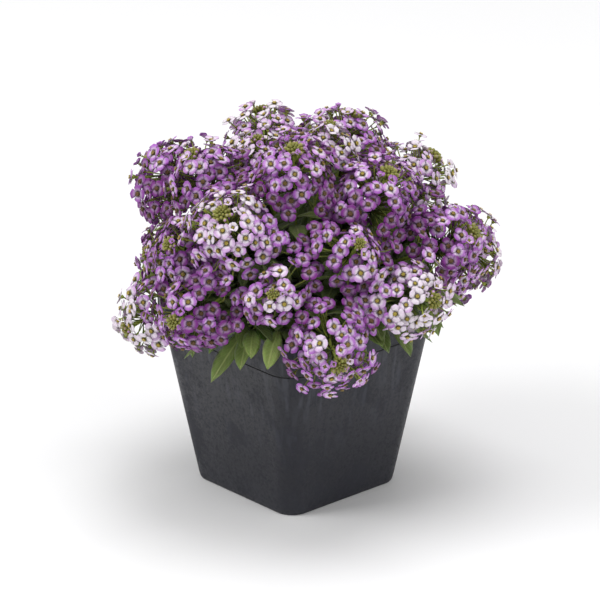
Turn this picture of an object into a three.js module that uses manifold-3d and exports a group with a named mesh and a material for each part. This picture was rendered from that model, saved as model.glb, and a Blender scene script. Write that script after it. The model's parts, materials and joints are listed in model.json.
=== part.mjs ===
// Sweet alyssum growing in a square nursery pot.
// Nine leafy stems stand in holes in the potting soil. Each one branches to a few flower heads, and each head
// is a dome of four-petalled florets round its stalk, whose tip carries a tuft of green buds.
// Millimetres, +Z up. The origin is the middle of the pot's flat underside, and its sides face X and Y.
import * as THREE from "three";
import { mergeVertices } from "three/addons/utils/BufferGeometryUtils.js";
import Module from "manifold-3d";

const wasm = await Module();
wasm.setup();

// ---- Pot: a thin tapered square with a wider band round its rim
const POT_HEIGHT = 80;
const BASE_HALF = 29.5;
const BASE_CORNER = 8;
const WALL_TOP_HALF = 40;
const WALL_CORNER = 10.5;
const BAND_HEIGHT = 14.5;
const BAND_LOW_HALF = 41.3;
const RIM_HALF = 42.5;
const RIM_CORNER = 12;
const WALL = 1.1;
const CORNER_STEPS = 2;
const DRAIN_RADIUS = 4;
const DRAIN_SIDES = 6;
const DRAIN_OFFSET = 17;
const CLEARANCE = 0.35;

// ---- Soil
const SOIL_TOP = 70;
const SOIL_BUMP = 1.6;
const SOIL_RINGS = [0.72, 0.34];
const HOLE_DEPTH = 10.5;
const HOLE_RADIUS = 2.3;
const ROOT_DEPTH = 10.2;

// ---- Canopy: the dome that the flower heads lie on
const CANOPY_CENTRE = new THREE.Vector3(2.5, -2.5, 79);
const CANOPY_RADIUS = 60;
const CANOPY_UNEVEN = 8;
const WIDEST_POLAR = THREE.MathUtils.degToRad(92);
const FIRST_AZIMUTH = THREE.MathUtils.degToRad(48);
const SPREAD_ROUNDS = 150;
const RIM_ROOM = 1;
// A head faces away from a point inside the canopy, which is higher for the heads that hang over the rim.
const FOCUS_SHARE = 0.45;
const FOCUS_Z = 89;
const HANGING_Z = 84;
const HANGING_SHARE = 0.8;

// ---- Flower heads
const HEAD_COUNT = 26;
const HEAD_RADIUS_LOW = 10.5;
const HEAD_RADIUS_HIGH = 18.5;
const HEAD_GAP = 0.5;
// A head's florets stand in two whorls. Their size is a share of the head's radius.
const WHORLS_BY_SIZE = [
  { above: 16, upper: 5, upperPolar: 44, lower: 7, lowerPolar: 93, share: 0.385 },
  { above: 12.5, upper: 4, upperPolar: 42, lower: 6, lowerPolar: 94, share: 0.405 },
  { above: 0, upper: 3, upperPolar: 40, lower: 5, lowerPolar: 95, share: 0.44 },
];
const FLORET_NOTCH = 0.6;
const FLORET_NECK = 2.5;
const PEDICEL_RADIUS = 0.8;
const FLORET_PLAY = 0.04;
const CORE_WALL = 1.3;
const CORE_LOW_SHARE = -0.26;
const CORE_TOP_SHARE = 0.12;
const NECK_SHARE = 0.5;
const TUFT_SHARE = 0.6;
const TUFT_RADIUS_SHARE = 0.25;
const TUFT_SIDES = 6;

// ---- Stems and leaves
const SECTORS = 8;
const MIDDLE_REACH = 22;
const FOOT_REACH_LOW = 13;
const FOOT_REACH_HIGH = 16;
const STEM_SIDES = 4;
const STEM_RADIUS = 1.4;
const BRANCH_RADIUS = 1.05;
const STALK_RADIUS = 0.9;
const STEM_LEAN = 0.35;
const FORK_RISE = 0.8;
const CURVE_PULL = 0.35;
const LEADER_STEPS = 5;
const BRANCH_STEPS = 4;
const SHOOT_STEPS = 4;
const SHOOT_TRIES = 30;
const SHOOT_TURN = 0.9;
const SHOOT_REACH = 52;
const STEM_ROOM = 0.8;
const LEAF_SLOTS = 28;
const SHOOT_SLOTS = 10;
const LEAF_TRIES = 19;
const LONG_TRIES = 6;
const LEAF_LENGTH_LOW = 18;
const LEAF_LENGTH_HIGH = 30;
const LEAF_SHORTER = 0.8;
const LEAF_HALF_WIDTH = 4;
const LEAF_THICK = 0.9;
const LEAF_FOLD = 0.28;
const LEAF_TURN = 2.8;
const LEAF_PITCHES = [-0.05, 1.05];
const SHOOT_LEAF_PITCHES = [-0.45, 0.6];

const GOLDEN_ANGLE = Math.PI * (3 - Math.sqrt(5));
const UP = new THREE.Vector3(0, 0, 1);
const mix = THREE.MathUtils.lerp;

// A fixed number from 0 to 1 for each trait of each item, so that the plant always grows the same way.
function chance(item, trait) {
  const wave = Math.sin(item * 127.1 + trait * 311.7) * 43758.5453;
  return wave - Math.floor(wave);
}

function along(start, direction, distance) {
  return start.clone().addScaledVector(direction, distance);
}

// A unit vector that leans from +Z by the polar angle.
function pointing(polar, azimuth) {
  const level = Math.sin(polar);
  return new THREE.Vector3(level * Math.cos(azimuth), level * Math.sin(azimuth), Math.cos(polar));
}

function pointingLevel(azimuth) {
  return new THREE.Vector3(Math.cos(azimuth), Math.sin(azimuth), 0);
}

// ---------------------------------------------------------------- solids

// A closed skin over rings of points. Each end closes on the ring's own middle, or on a point given for it.
function loft(rings, startPoint, endPoint) {
  const size = rings[0].length;
  const middle = (ring) => ring.reduce((sum, p) => sum.add(p), new THREE.Vector3()).divideScalar(size);
  const points = [...rings.flat(), startPoint ?? middle(rings[0]), endPoint ?? middle(rings.at(-1))];
  const first = points.length - 2;
  const last = points.length - 1;
  const faces = [];
  for (let k = 0; k < size; k += 1) {
    const next = (k + 1) % size;
    faces.push(first, next, k);
    for (let r = 0; r + 1 < rings.length; r += 1) {
      const low = r * size;
      const high = low + size;
      faces.push(low + k, low + next, high + next);
      faces.push(low + k, high + next, high + k);
    }
    const top = (rings.length - 1) * size;
    faces.push(last, top + k, top + next);
  }
  const geometry = new THREE.BufferGeometry().setFromPoints(points);
  geometry.setIndex(faces);
  return geometry;
}

function toSolid(geometry) {
  const bare = geometry.clone();
  bare.deleteAttribute("normal");
  bare.deleteAttribute("uv");
  const merged = mergeVertices(bare, 1e-4);
  return new wasm.Manifold(
    new wasm.Mesh({
      numProp: 3,
      vertProperties: new Float32Array(merged.attributes.position.array),
      triVerts: new Uint32Array(merged.index.array),
    }),
  );
}

function toGeometry(solid) {
  const mesh = solid.getMesh();
  const geometry = new THREE.BufferGeometry();
  geometry.setAttribute("position", new THREE.BufferAttribute(mesh.vertProperties, 3));
  geometry.setIndex(new THREE.BufferAttribute(mesh.triVerts, 1));
  geometry.computeVertexNormals();
  return geometry;
}

function fuse(geometries) {
  return geometries.map(toSolid).reduce((whole, piece) => whole.add(piece));
}

// ---------------------------------------------------------------- pot and soil

function roundedSquare(half, corner, z) {
  const inset = half - corner;
  const outline = new THREE.Shape();
  outline.absarc(inset, inset, corner, 0, Math.PI / 2);
  const quarter = outline.getPoints(CORNER_STEPS);
  const ring = [];
  for (let turn = 0; turn < 4; turn += 1) {
    const angle = (turn * Math.PI) / 2;
    quarter.forEach((p) => {
      const flat = p.clone().rotateAround(new THREE.Vector2(), angle);
      ring.push(new THREE.Vector3(flat.x, flat.y, z));
    });
  }
  return ring;
}

function makePot() {
  const bandLow = POT_HEIGHT - BAND_HEIGHT;
  const outside = [
    roundedSquare(BASE_HALF, BASE_CORNER, 0),
    roundedSquare(WALL_TOP_HALF, WALL_CORNER, bandLow),
    roundedSquare(BAND_LOW_HALF, RIM_CORNER - 1, bandLow + 0.5),
    roundedSquare(RIM_HALF, RIM_CORNER, POT_HEIGHT),
  ];
  const inside = [
    roundedSquare(RIM_HALF - WALL, RIM_CORNER - WALL, POT_HEIGHT),
    roundedSquare(BAND_LOW_HALF - WALL, RIM_CORNER - 1 - WALL, bandLow + 0.9),
    roundedSquare(WALL_TOP_HALF - WALL, WALL_CORNER - WALL, bandLow - 0.1),
    roundedSquare(BASE_HALF - WALL, BASE_CORNER - WALL, WALL),
  ];
  const shell = toSolid(loft([...outside, ...inside]));
  const corners = [[1, 1], [-1, 1], [-1, -1], [1, -1]];
  return corners.reduce((pot, [sx, sy]) => {
    const drain = new THREE.CylinderGeometry(DRAIN_RADIUS, DRAIN_RADIUS, 6, DRAIN_SIDES);
    drain.rotateX(Math.PI / 2);
    drain.translate(sx * DRAIN_OFFSET, sy * DRAIN_OFFSET, 0);
    return pot.subtract(toSolid(drain));
  }, shell);
}

// The crumbly top is the filled square with each inner point raised by its own amount.
function makeSoil(stems) {
  const bandLow = POT_HEIGHT - BAND_HEIGHT;
  const inner = (half, corner, z) => roundedSquare(half - WALL - CLEARANCE, corner - WALL - CLEARANCE, z);
  const rings = [
    inner(BASE_HALF, BASE_CORNER, WALL + CLEARANCE),
    inner(WALL_TOP_HALF, WALL_CORNER, bandLow - 0.1),
    inner(BAND_LOW_HALF, RIM_CORNER - 1, bandLow + 1.7),
    inner(BAND_LOW_HALF + 0.2, RIM_CORNER - 1, SOIL_TOP - 0.8),
  ];
  SOIL_RINGS.forEach((share, r) => {
    const ring = roundedSquare(BAND_LOW_HALF * share, RIM_CORNER * share, SOIL_TOP);
    ring.forEach((p, k) => {
      p.z += SOIL_BUMP * (chance(k, 60 + r) - 0.3);
    });
    rings.push(ring);
  });
  const block = toSolid(loft(rings));
  return stems.reduce((soil, stem) => {
    const hole = new THREE.CylinderGeometry(HOLE_RADIUS, HOLE_RADIUS, 2 * HOLE_DEPTH, 4);
    hole.rotateX(Math.PI / 2);
    hole.translate(stem.foot.x, stem.foot.y, SOIL_TOP);
    return soil.subtract(toSolid(hole));
  }, block);
}

// How far a point lies outside the rim's outline, measured level. It is negative inside.
function outsideRim(point) {
  const x = Math.abs(point.x) - (RIM_HALF - RIM_CORNER);
  const y = Math.abs(point.y) - (RIM_HALF - RIM_CORNER);
  const past = Math.hypot(Math.max(x, 0), Math.max(y, 0));
  return past + Math.min(Math.max(x, y), 0) - RIM_CORNER;
}

// The distance from a point to the pot's wall, taken as upright and 2 mm thick.
function gapToRim(point) {
  const across = Math.max(Math.abs(outsideRim(point) + 1) - 1, 0);
  const above = Math.max(point.z - POT_HEIGHT, 0);
  return Math.hypot(across, above);
}

// ---------------------------------------------------------------- where everything grows

// The heads start on a golden spiral over the dome, then push each other and the rim aside until none touch.
function placeHeads() {
  const heads = [];
  for (let i = 0; i < HEAD_COUNT; i += 1) {
    const azimuth = FIRST_AZIMUTH + i * GOLDEN_ANGLE;
    const polar = Math.acos(1 - ((i + 0.5) / HEAD_COUNT) * (1 - Math.cos(WIDEST_POLAR)));
    const reach = CANOPY_RADIUS + CANOPY_UNEVEN * (2 * chance(i, 1) - 1);
    heads.push({
      index: i,
      place: along(CANOPY_CENTRE, pointing(polar, azimuth), reach),
      radius: mix(HEAD_RADIUS_LOW, HEAD_RADIUS_HIGH, chance(i, 2)),
    });
  }
  const pairs = heads.flatMap((a, i) => heads.slice(i + 1).map((b) => [a, b]));
  const overlap = (a, b) => a.radius + b.radius + HEAD_GAP - a.place.distanceTo(b.place);
  for (let round = 0; round < SPREAD_ROUNDS; round += 1) {
    pairs.forEach(([a, b]) => {
      const push = b.place.clone().sub(a.place).normalize();
      const half = Math.max(overlap(a, b), 0) / 2;
      a.place.addScaledVector(push, -half);
      b.place.addScaledVector(push, half);
    });
    heads.forEach((head) => {
      const out = head.place.clone().sub(CANOPY_CENTRE);
      out.clampLength(CANOPY_RADIUS - CANOPY_UNEVEN, CANOPY_RADIUS + CANOPY_UNEVEN);
      head.place.copy(CANOPY_CENTRE).add(out);
      const short = Math.max(head.radius + RIM_ROOM - gapToRim(head.place), 0);
      const away = new THREE.Vector3(head.place.x, head.place.y, 0).normalize().add(UP).normalize();
      head.place.addScaledVector(away, short);
    });
  }
  pairs.forEach(([a, b]) => {
    const half = Math.max(overlap(a, b), 0) / 2;
    a.radius -= half;
    b.radius -= half;
  });
  heads.forEach((head) => {
    const focusZ = FOCUS_Z + HANGING_SHARE * Math.max(HANGING_Z - head.place.z, 0);
    const focus = new THREE.Vector3(head.place.x * FOCUS_SHARE, head.place.y * FOCUS_SHARE, focusZ);
    head.axis = head.place.clone().sub(focus).normalize();
    head.neck = along(head.place, head.axis, -NECK_SHARE * head.radius);
    head.tip = along(head.place, head.axis, TUFT_SHARE * head.radius);
  });
  return heads;
}

function curve(start, out, into, end, steps) {
  const pull = CURVE_PULL * start.distanceTo(end);
  const bend = new THREE.CubicBezierCurve3(start, along(start, out, pull), along(end, into, -pull), end);
  return bend.getPoints(steps);
}

// One stem stands in the middle and one in each sector. Its leader runs to its highest head, and its branches
// leave the leader one after another for the lower heads.
function placeStems(heads) {
  const stems = [];
  for (let s = 0; s <= SECTORS; s += 1) {
    const outward = s === 0 ? new THREE.Vector3() : pointingLevel(((s - 1) * 2 * Math.PI) / SECTORS);
    const foot = outward.clone().multiplyScalar(mix(FOOT_REACH_LOW, FOOT_REACH_HIGH, chance(s, 3)));
    stems.push({ index: s, foot, outward, heads: [] });
  }
  heads.forEach((head) => {
    const azimuth = Math.atan2(head.place.y, head.place.x);
    const sector = (Math.round((azimuth * SECTORS) / (2 * Math.PI)) + SECTORS) % SECTORS;
    const inner = Math.hypot(head.place.x, head.place.y) < MIDDLE_REACH;
    stems[inner ? 0 : sector + 1].heads.push(head);
  });
  stems.forEach((stem) => {
    stem.heads.sort((a, b) => b.place.z - a.place.z);
    const ground = stem.foot.clone().setZ(SOIL_TOP + 1.5);
    const rise = along(UP, stem.outward, STEM_LEAN).normalize();
    stem.paths = [];
    stem.heads.forEach((head, n) => {
      if (n === 0) {
        const leader = curve(ground, rise, head.axis, head.neck, LEADER_STEPS);
        const root = stem.foot.clone().setZ(SOIL_TOP - ROOT_DEPTH);
        stem.paths.push([root, ...leader, head.tip]);
        return;
      }
      const from = stem.paths[0][Math.min(1 + n, 3)];
      const fork = along(head.axis, rise, FORK_RISE).normalize();
      stem.paths.push([...curve(from, fork, head.axis, head.neck, BRANCH_STEPS), head.tip]);
    });
  });
  return stems.filter((stem) => stem.heads.length > 0);
}

// The share of its full half width that a leaf has at each share of its length.
const LEAF_STATIONS = [
  { at: 0.36, wide: 0.86 },
  { at: 0.7, wide: 0.94 },
];

function leafPoint(leaf, t) {
  const bent = along(leaf.root, leaf.direction, leaf.length * t);
  return bent.addScaledVector(UP, -leaf.droop * leaf.length * t * t);
}

// Balls that fill the heads and the stems, for keeping new growth clear of them.
function ballsAlong(path, radius, stem) {
  const balls = [];
  for (let k = 0; k + 1 < path.length; k += 1) {
    [0, 0.33, 0.67].forEach((t) => {
      balls.push({ place: path[k].clone().lerp(path[k + 1], t), radius, stem });
    });
  }
  return balls;
}

function fillSpace(stems, heads) {
  const balls = heads.map((head) => ({ place: head.place, radius: head.radius + 0.4 }));
  stems.forEach((stem) => {
    stem.paths.forEach((path) => balls.push(...ballsAlong(path, STEM_RADIUS, stem.index)));
  });
  return balls;
}

// Each outer stem puts out one low shoot without a flower, which ends over the rim where there is room.
function placeShoots(stems, balls) {
  stems.filter((stem) => stem.index > 0).forEach((stem) => {
    for (let attempt = 0; attempt < SHOOT_TRIES; attempt += 1) {
      const item = stem.index * 40 + attempt;
      const azimuth = Math.atan2(stem.outward.y, stem.outward.x) + SHOOT_TURN * (chance(item, 13) - 0.5);
      const outward = pointingLevel(azimuth);
      const rim = RIM_HALF / Math.max(Math.abs(outward.x), Math.abs(outward.y));
      const reach = Math.min(rim, SHOOT_REACH) - mix(8, 1, chance(item, 14));
      const end = outward.clone().multiplyScalar(reach).setZ(POT_HEIGHT + mix(4, 10, chance(item, 15)));
      const fork = along(UP, stem.outward, FORK_RISE).normalize();
      const shoot = curve(stem.paths[0][2], fork, outward, end, SHOOT_STEPS);
      const tail = ballsAlong(shoot.slice(1), BRANCH_RADIUS, stem.index);
      const clear = tail.every(({ place }) => {
        if (gapToRim(place) < BRANCH_RADIUS + STEM_ROOM) {
          return false;
        }
        return balls.every((ball) => {
          const room = ball.stem === stem.index ? 1 : BRANCH_RADIUS + STEM_ROOM;
          return ball.place.distanceTo(place) > ball.radius + room;
        });
      });
      if (clear) {
        stem.shoot = shoot;
        balls.push(...tail);
        return;
      }
    }
  });
}

// Leaves take turns round each stem. A leaf that would touch a head, the pot or another stem or leaf tries
// another direction, and is left out if none is free.
function placeLeaves(stems, balls) {
  const free = (leaf) =>
    [0.35, 0.55, 0.75, 0.97].every((t) => {
      const point = leafPoint(leaf, t);
      const room = leaf.halfWidth * (t > 0.9 ? 0.35 : 0.85);
      const inPot = outsideRim(point) < 0 && point.z < SOIL_TOP + 2 + room;
      if (inPot || gapToRim(point) < room * 0.6 + 0.5) {
        return false;
      }
      return balls.every((ball) => ball.place.distanceTo(point) > ball.radius + room);
    });
  const leaves = [];
  const grow = (stem, slot, root, pitches) => {
    const item = stem.index * 40 + slot;
    const facing = Math.atan2(root.y - CANOPY_CENTRE.y, root.x - CANOPY_CENTRE.x);
    for (let attempt = 0; attempt < LEAF_TRIES; attempt += 1) {
      const azimuth = facing + LEAF_TURN * (chance(item, 10 + attempt) - 0.5);
      const pitch = mix(pitches[0], pitches[1], chance(item, 30 + attempt));
      const shorter = attempt > LONG_TRIES ? LEAF_SHORTER : 1;
      const leaf = {
        root,
        direction: pointing(Math.PI / 2 - pitch, azimuth),
        length: mix(LEAF_LENGTH_LOW, LEAF_LENGTH_HIGH, chance(item, 5)) * shorter,
        droop: mix(0.1, 0.4, chance(item, 6)),
        halfWidth: LEAF_HALF_WIDTH * mix(0.8, 1.1, chance(item, 7)),
        stem: stem.index,
      };
      if (free(leaf)) {
        leaves.push(leaf);
        [0.35, 0.6, 0.85].forEach((t) => {
          balls.push({ place: leafPoint(leaf, t), radius: leaf.halfWidth * 0.7 });
        });
        return;
      }
    }
  };
  stems.filter((stem) => stem.shoot).forEach((stem) => {
    for (let slot = 0; slot < SHOOT_SLOTS; slot += 1) {
      const t = slot === 0 ? 0.98 : mix(0.45, 0.9, chance(stem.index * 40 + slot, 16));
      const knot = Math.min(Math.floor(t * SHOOT_STEPS), SHOOT_STEPS - 1);
      const root = stem.shoot[knot].clone().lerp(stem.shoot[knot + 1], t * SHOOT_STEPS - knot);
      grow(stem, slot + LEAF_SLOTS, root, SHOOT_LEAF_PITCHES);
    }
  });
  stems.forEach((stem) => {
    for (let slot = 0; slot < LEAF_SLOTS; slot += 1) {
      const path = stem.paths[slot % stem.paths.length];
      const knot = 1 + ((slot * 2 + stem.index) % (path.length - 3));
      const share = mix(0.2, 0.8, chance(stem.index * 40 + slot, 4));
      grow(stem, slot, path[knot].clone().lerp(path[knot + 1], share), LEAF_PITCHES);
    }
  });
  return leaves;
}

// ---------------------------------------------------------------- stems and leaves as solids

function makeTube(path, radii) {
  let side = new THREE.Vector3(1, 0, 0);
  const rings = path.map((point, k) => {
    const before = path[Math.max(k - 1, 0)];
    const after = path[Math.min(k + 1, path.length - 1)];
    const forward = after.clone().sub(before).normalize();
    side = side.clone().addScaledVector(forward, -side.dot(forward)).normalize();
    const other = forward.clone().cross(side);
    const ring = [];
    for (let n = 0; n < STEM_SIDES; n += 1) {
      const angle = (n * 2 * Math.PI) / STEM_SIDES;
      const spoke = side.clone().multiplyScalar(Math.cos(angle)).addScaledVector(other, Math.sin(angle));
      ring.push(along(point, spoke, radii[k]));
    }
    return ring;
  });
  return loft(rings);
}

// A lance-shaped blade with a raised edge on each side of its rib, pointed at both ends.
function makeLeaf(leaf) {
  const rings = LEAF_STATIONS.map(({ at, wide }) => {
    const middle = leafPoint(leaf, at);
    const forward = leafPoint(leaf, at + 0.02).sub(middle).normalize();
    const side = UP.clone().cross(forward).normalize();
    const top = forward.clone().cross(side);
    const half = leaf.halfWidth * wide;
    const lift = half * LEAF_FOLD;
    return [
      along(along(middle, side, half), top, lift),
      along(middle, top, LEAF_THICK / 2),
      along(along(middle, side, -half), top, lift),
      along(middle, top, -LEAF_THICK / 2),
    ];
  });
  return loft(rings, leaf.root, leafPoint(leaf, 1));
}

// Three buds round a middle one, as one ribbed knob on the stalk's tip.
function makeTuft(head) {
  const size = TUFT_RADIUS_SHARE * head.radius;
  const side = head.axis.clone().cross(UP).addScalar(1e-6).normalize();
  const other = head.axis.clone().cross(side);
  const at = (height) => along(head.tip, head.axis, height * size);
  const ring = (radius, height) =>
    Array.from({ length: TUFT_SIDES }, (_, k) => {
      const angle = (k * 2 * Math.PI) / TUFT_SIDES;
      const spoke = side.clone().multiplyScalar(Math.cos(angle)).addScaledVector(other, Math.sin(angle));
      return along(at(height), spoke, radius * size * (k % 2 ? 0.68 : 1));
    });
  return loft([ring(1, 0.1), ring(0.7, 0.63)], at(-0.44), at(0.83));
}

function makeStem(stem, leaves) {
  const tubes = stem.paths.map((path, n) => {
    const thick = n === 0 ? STEM_RADIUS : BRANCH_RADIUS;
    const radii = path.map((_, k) => {
      const t = Math.min(k / (path.length - 2), 1);
      return mix(thick, STALK_RADIUS, t);
    });
    return makeTube(path, radii);
  });
  if (stem.shoot) {
    tubes.push(makeTube(stem.shoot, stem.shoot.map(() => STALK_RADIUS)));
  }
  return fuse([...tubes, ...leaves.map(makeLeaf), ...stem.heads.map(makeTuft)]);
}

// ---------------------------------------------------------------- flower heads

// Joins two rings that may differ in size. Each triangle has one edge on a ring and its tip on the other, and
// says which ring its edge is on and how far round its middle is.
function zip(low, top) {
  const triangles = [];
  let [i, j] = [0, 0];
  while (i < low.length || j < top.length) {
    const lowRound = (i + 0.5) / low.length;
    const topRound = (j + 0.5) / top.length;
    const [lowHere, lowNext] = [low[i % low.length], low[(i + 1) % low.length]];
    const [topHere, topNext] = [top[j % top.length], top[(j + 1) % top.length]];
    if (lowRound <= topRound) {
      triangles.push({ corners: [lowHere, lowNext, topHere], onTop: false, round: lowRound });
      i += 1;
    } else {
      triangles.push({ corners: [lowHere, topNext, topHere], onTop: true, round: topRound });
      j += 1;
    }
  }
  return triangles;
}

// A closed ring round the stalk, whose outer triangles each grow out into a floret's stalk.
function makeCore(size, upper, lower) {
  const points = [];
  const ring = (count, wall, z) => {
    const radius = (STALK_RADIUS + CLEARANCE) / Math.cos(Math.PI / count) + wall;
    return Array.from({ length: count }, (_, k) => {
      const spoke = pointingLevel((k * 2 * Math.PI) / count).multiplyScalar(radius);
      return points.push(spoke.setZ(z * size)) - 1;
    });
  };
  const lowBore = ring(lower, 0, CORE_LOW_SHARE);
  const low = ring(lower, CORE_WALL, CORE_LOW_SHARE);
  const top = ring(upper, CORE_WALL, CORE_TOP_SHARE);
  const topBore = ring(upper, 0, CORE_TOP_SHARE);
  const faces = zip(lowBore, topBore).flatMap(({ corners: [a, b, c] }) => [a, c, b]);
  [[lowBore, low], [top, topBore]].forEach(([from, to]) => {
    from.forEach((here, k) => {
      const next = (k + 1) % from.length;
      faces.push(here, from[next], to[next]);
      faces.push(here, to[next], to[k]);
    });
  });
  return { points, faces, sockets: zip(low, top) };
}

// Grows a four-petalled floret and its stalk out of a triangle. Two points make each petal's blunt end and one
// makes each notch.
function growFloret(points, faces, socket, centre, outward, radius) {
  const side = outward.clone().cross(Math.abs(outward.z) < 0.9 ? UP : new THREE.Vector3(1, 0, 0)).normalize();
  const other = outward.clone().cross(side);
  const at = (angle, distance, height) => {
    const spoke = side.clone().multiplyScalar(Math.cos(angle)).addScaledVector(other, Math.sin(angle));
    return along(along(centre, spoke, distance), outward, height);
  };
  const add = (point) => points.push(point) - 1;
  const root = socket.map((corner) => points[corner]);
  const middle = root.reduce((sum, p) => sum.add(p), new THREE.Vector3()).divideScalar(3);
  const first = root[0].clone().sub(middle);
  const turn = Math.atan2(first.dot(other), first.dot(side));
  const neck = [0, 1, 2].map((k) => add(at(turn + (k * 2 * Math.PI) / 3, PEDICEL_RADIUS, -FLORET_NECK)));
  const edge = [0, 1, 2, 3].flatMap((petal) => {
    const ahead = turn - Math.PI / 4 + (petal * Math.PI) / 2;
    return [
      add(at(ahead - 0.46, radius, 0)),
      add(at(ahead + 0.46, radius, 0)),
      add(at(ahead + Math.PI / 4, radius * FLORET_NOTCH, -0.2)),
    ];
  });
  const eye = add(at(0, 0, -1));
  for (let k = 0; k < 12; k += 1) {
    faces.push(eye, edge[k], edge[(k + 1) % 12]);
  }
  for (let n = 0; n < 3; n += 1) {
    const next = (n + 1) % 3;
    for (let k = 0; k < 4; k += 1) {
      faces.push(neck[n], edge[(n * 4 + k + 1) % 12], edge[(n * 4 + k) % 12]);
    }
    faces.push(neck[n], neck[next], edge[(n * 4 + 4) % 12]);
    faces.push(socket[n], socket[next], neck[next]);
    faces.push(socket[n], neck[next], neck[n]);
  }
}

function makeHead(head) {
  const size = head.radius;
  const whorls = WHORLS_BY_SIZE.find(({ above }) => size > above);
  const { points, faces, sockets } = makeCore(size, whorls.upper, whorls.lower);
  const out = size * Math.sqrt(1 - whorls.share * whorls.share);
  sockets.forEach(({ corners, onTop, round }, k) => {
    const item = head.index * 50 + k;
    const polar = THREE.MathUtils.degToRad(onTop ? whorls.upperPolar : whorls.lowerPolar);
    const azimuth = round * 2 * Math.PI + FLORET_PLAY * (chance(item, 8) - 0.5);
    const outward = pointing(polar + FLORET_PLAY * (chance(item, 9) - 0.5), azimuth);
    const radius = whorls.share * size * mix(0.92, 1, chance(item, 10));
    const first = Math.floor(3 * chance(item, 11));
    const socket = [...corners.slice(first), ...corners.slice(0, first)];
    growFloret(points, faces, socket, outward.clone().multiplyScalar(out), outward, radius);
  });
  const turn = new THREE.Quaternion().setFromUnitVectors(UP, head.axis);
  const geometry = new THREE.BufferGeometry().setFromPoints(points);
  geometry.setIndex(faces);
  geometry.applyQuaternion(turn).translate(head.place.x, head.place.y, head.place.z);
  return toSolid(geometry);
}

// ---------------------------------------------------------------- the object

const finish = (color, roughness) => new THREE.MeshStandardMaterial({ color, roughness, metalness: 0 });
const POT_PLASTIC = finish(0x2b2c30, 0.55);
const SOIL_BROWN = finish(0x2c2018, 0.95);
const LEAF_GREEN = finish(0x4f7238, 0.6);
const PETALS = [finish(0xe0cfe6, 0.6), finish(0xb98acb, 0.6), finish(0x8a4fa3, 0.6)];

const plant = new THREE.Group();

function addNode(name, solid, material) {
  const mesh = new THREE.Mesh(toGeometry(solid), material);
  mesh.name = name;
  plant.add(mesh);
}

const heads = placeHeads();
const stems = placeStems(heads);
const balls = fillSpace(stems, heads);
placeShoots(stems, balls);
const leaves = placeLeaves(stems, balls);

addNode("pot", makePot(), POT_PLASTIC);
addNode("potting_soil", makeSoil(stems), SOIL_BROWN);
stems.forEach((stem) => {
  const own = leaves.filter((leaf) => leaf.stem === stem.index);
  addNode(`leafy_stem_${stem.index + 1}`, makeStem(stem, own), LEAF_GREEN);
});
heads.forEach((head) => {
  const shade = chance(head.index, 12);
  const petals = PETALS[shade < 0.25 ? 0 : shade < 0.7 ? 1 : 2];
  addNode(`flower_head_${String(head.index + 1).padStart(2, "0")}`, makeHead(head), petals);
});

export default plant;
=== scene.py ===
"""A sweet alyssum in its square nursery pot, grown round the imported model."""

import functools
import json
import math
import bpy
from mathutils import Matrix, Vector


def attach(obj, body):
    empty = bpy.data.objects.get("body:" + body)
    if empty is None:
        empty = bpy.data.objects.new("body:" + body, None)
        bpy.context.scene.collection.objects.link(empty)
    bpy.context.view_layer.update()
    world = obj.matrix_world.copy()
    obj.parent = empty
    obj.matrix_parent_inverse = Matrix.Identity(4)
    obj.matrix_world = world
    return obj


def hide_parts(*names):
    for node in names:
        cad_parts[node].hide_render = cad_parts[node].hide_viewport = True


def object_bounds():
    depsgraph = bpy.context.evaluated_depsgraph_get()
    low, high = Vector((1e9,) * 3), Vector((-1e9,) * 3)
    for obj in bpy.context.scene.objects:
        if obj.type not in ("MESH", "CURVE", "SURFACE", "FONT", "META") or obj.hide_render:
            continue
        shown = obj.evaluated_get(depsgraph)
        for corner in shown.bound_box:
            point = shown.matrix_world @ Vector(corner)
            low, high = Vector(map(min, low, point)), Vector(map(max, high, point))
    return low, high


bl_info = {
    "name": "Potted Sweet Alyssum",
    "version": (1, 0, 0),
    "blender": (4, 5, 0),
    "location": "View3D > Sidebar > Alyssum",
    "description": "Grows a flowering sweet alyssum in a square nursery pot",
    "category": "Add Mesh",
}

import bpy
import numpy as np
from mathutils import Vector

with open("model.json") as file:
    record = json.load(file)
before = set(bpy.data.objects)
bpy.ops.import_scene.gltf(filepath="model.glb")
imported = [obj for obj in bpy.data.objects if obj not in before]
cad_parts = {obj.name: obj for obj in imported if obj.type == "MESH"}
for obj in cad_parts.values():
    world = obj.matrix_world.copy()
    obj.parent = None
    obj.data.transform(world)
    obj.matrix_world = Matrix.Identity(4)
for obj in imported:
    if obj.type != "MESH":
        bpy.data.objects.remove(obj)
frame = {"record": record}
CAD_LOW, CAD_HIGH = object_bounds()

MM = 0.001
UP = np.array([0.0, 0.0, 1.0])
GOLDEN_ANGLE = math.pi * (3 - math.sqrt(5))


# ------------------------------------------------------------------ settings


def length(name, description, millimetres, low=0.0):
    """A length property that shows in the scene's units."""
    return bpy.props.FloatProperty(
        name=name, description=description, default=millimetres * MM, min=low, unit="LENGTH", precision=5
    )


def share(name, description, default):
    """A property from 0 to 1."""
    return bpy.props.FloatProperty(
        name=name, description=description, default=default, min=0, max=1, subtype="FACTOR"
    )


def angle(name, description, degrees):
    """An angle property that shows in degrees."""
    return bpy.props.FloatProperty(
        name=name, description=description, default=math.radians(degrees), subtype="ANGLE"
    )


def count(name, description, default):
    """A whole number of things."""
    return bpy.props.IntProperty(name=name, description=description, default=default, min=0)


def tint(name, description, *screen):
    """A colour property, given as the usual 0 to 255 screen values of red, green and blue."""
    linear = [((c / 255 + 0.055) / 1.055) ** 2.4 if c > 10 else c / 255 / 12.92 for c in screen]
    return bpy.props.FloatVectorProperty(
        name=name, description=description, default=linear, size=3, min=0, max=1, subtype="COLOR"
    )


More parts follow.
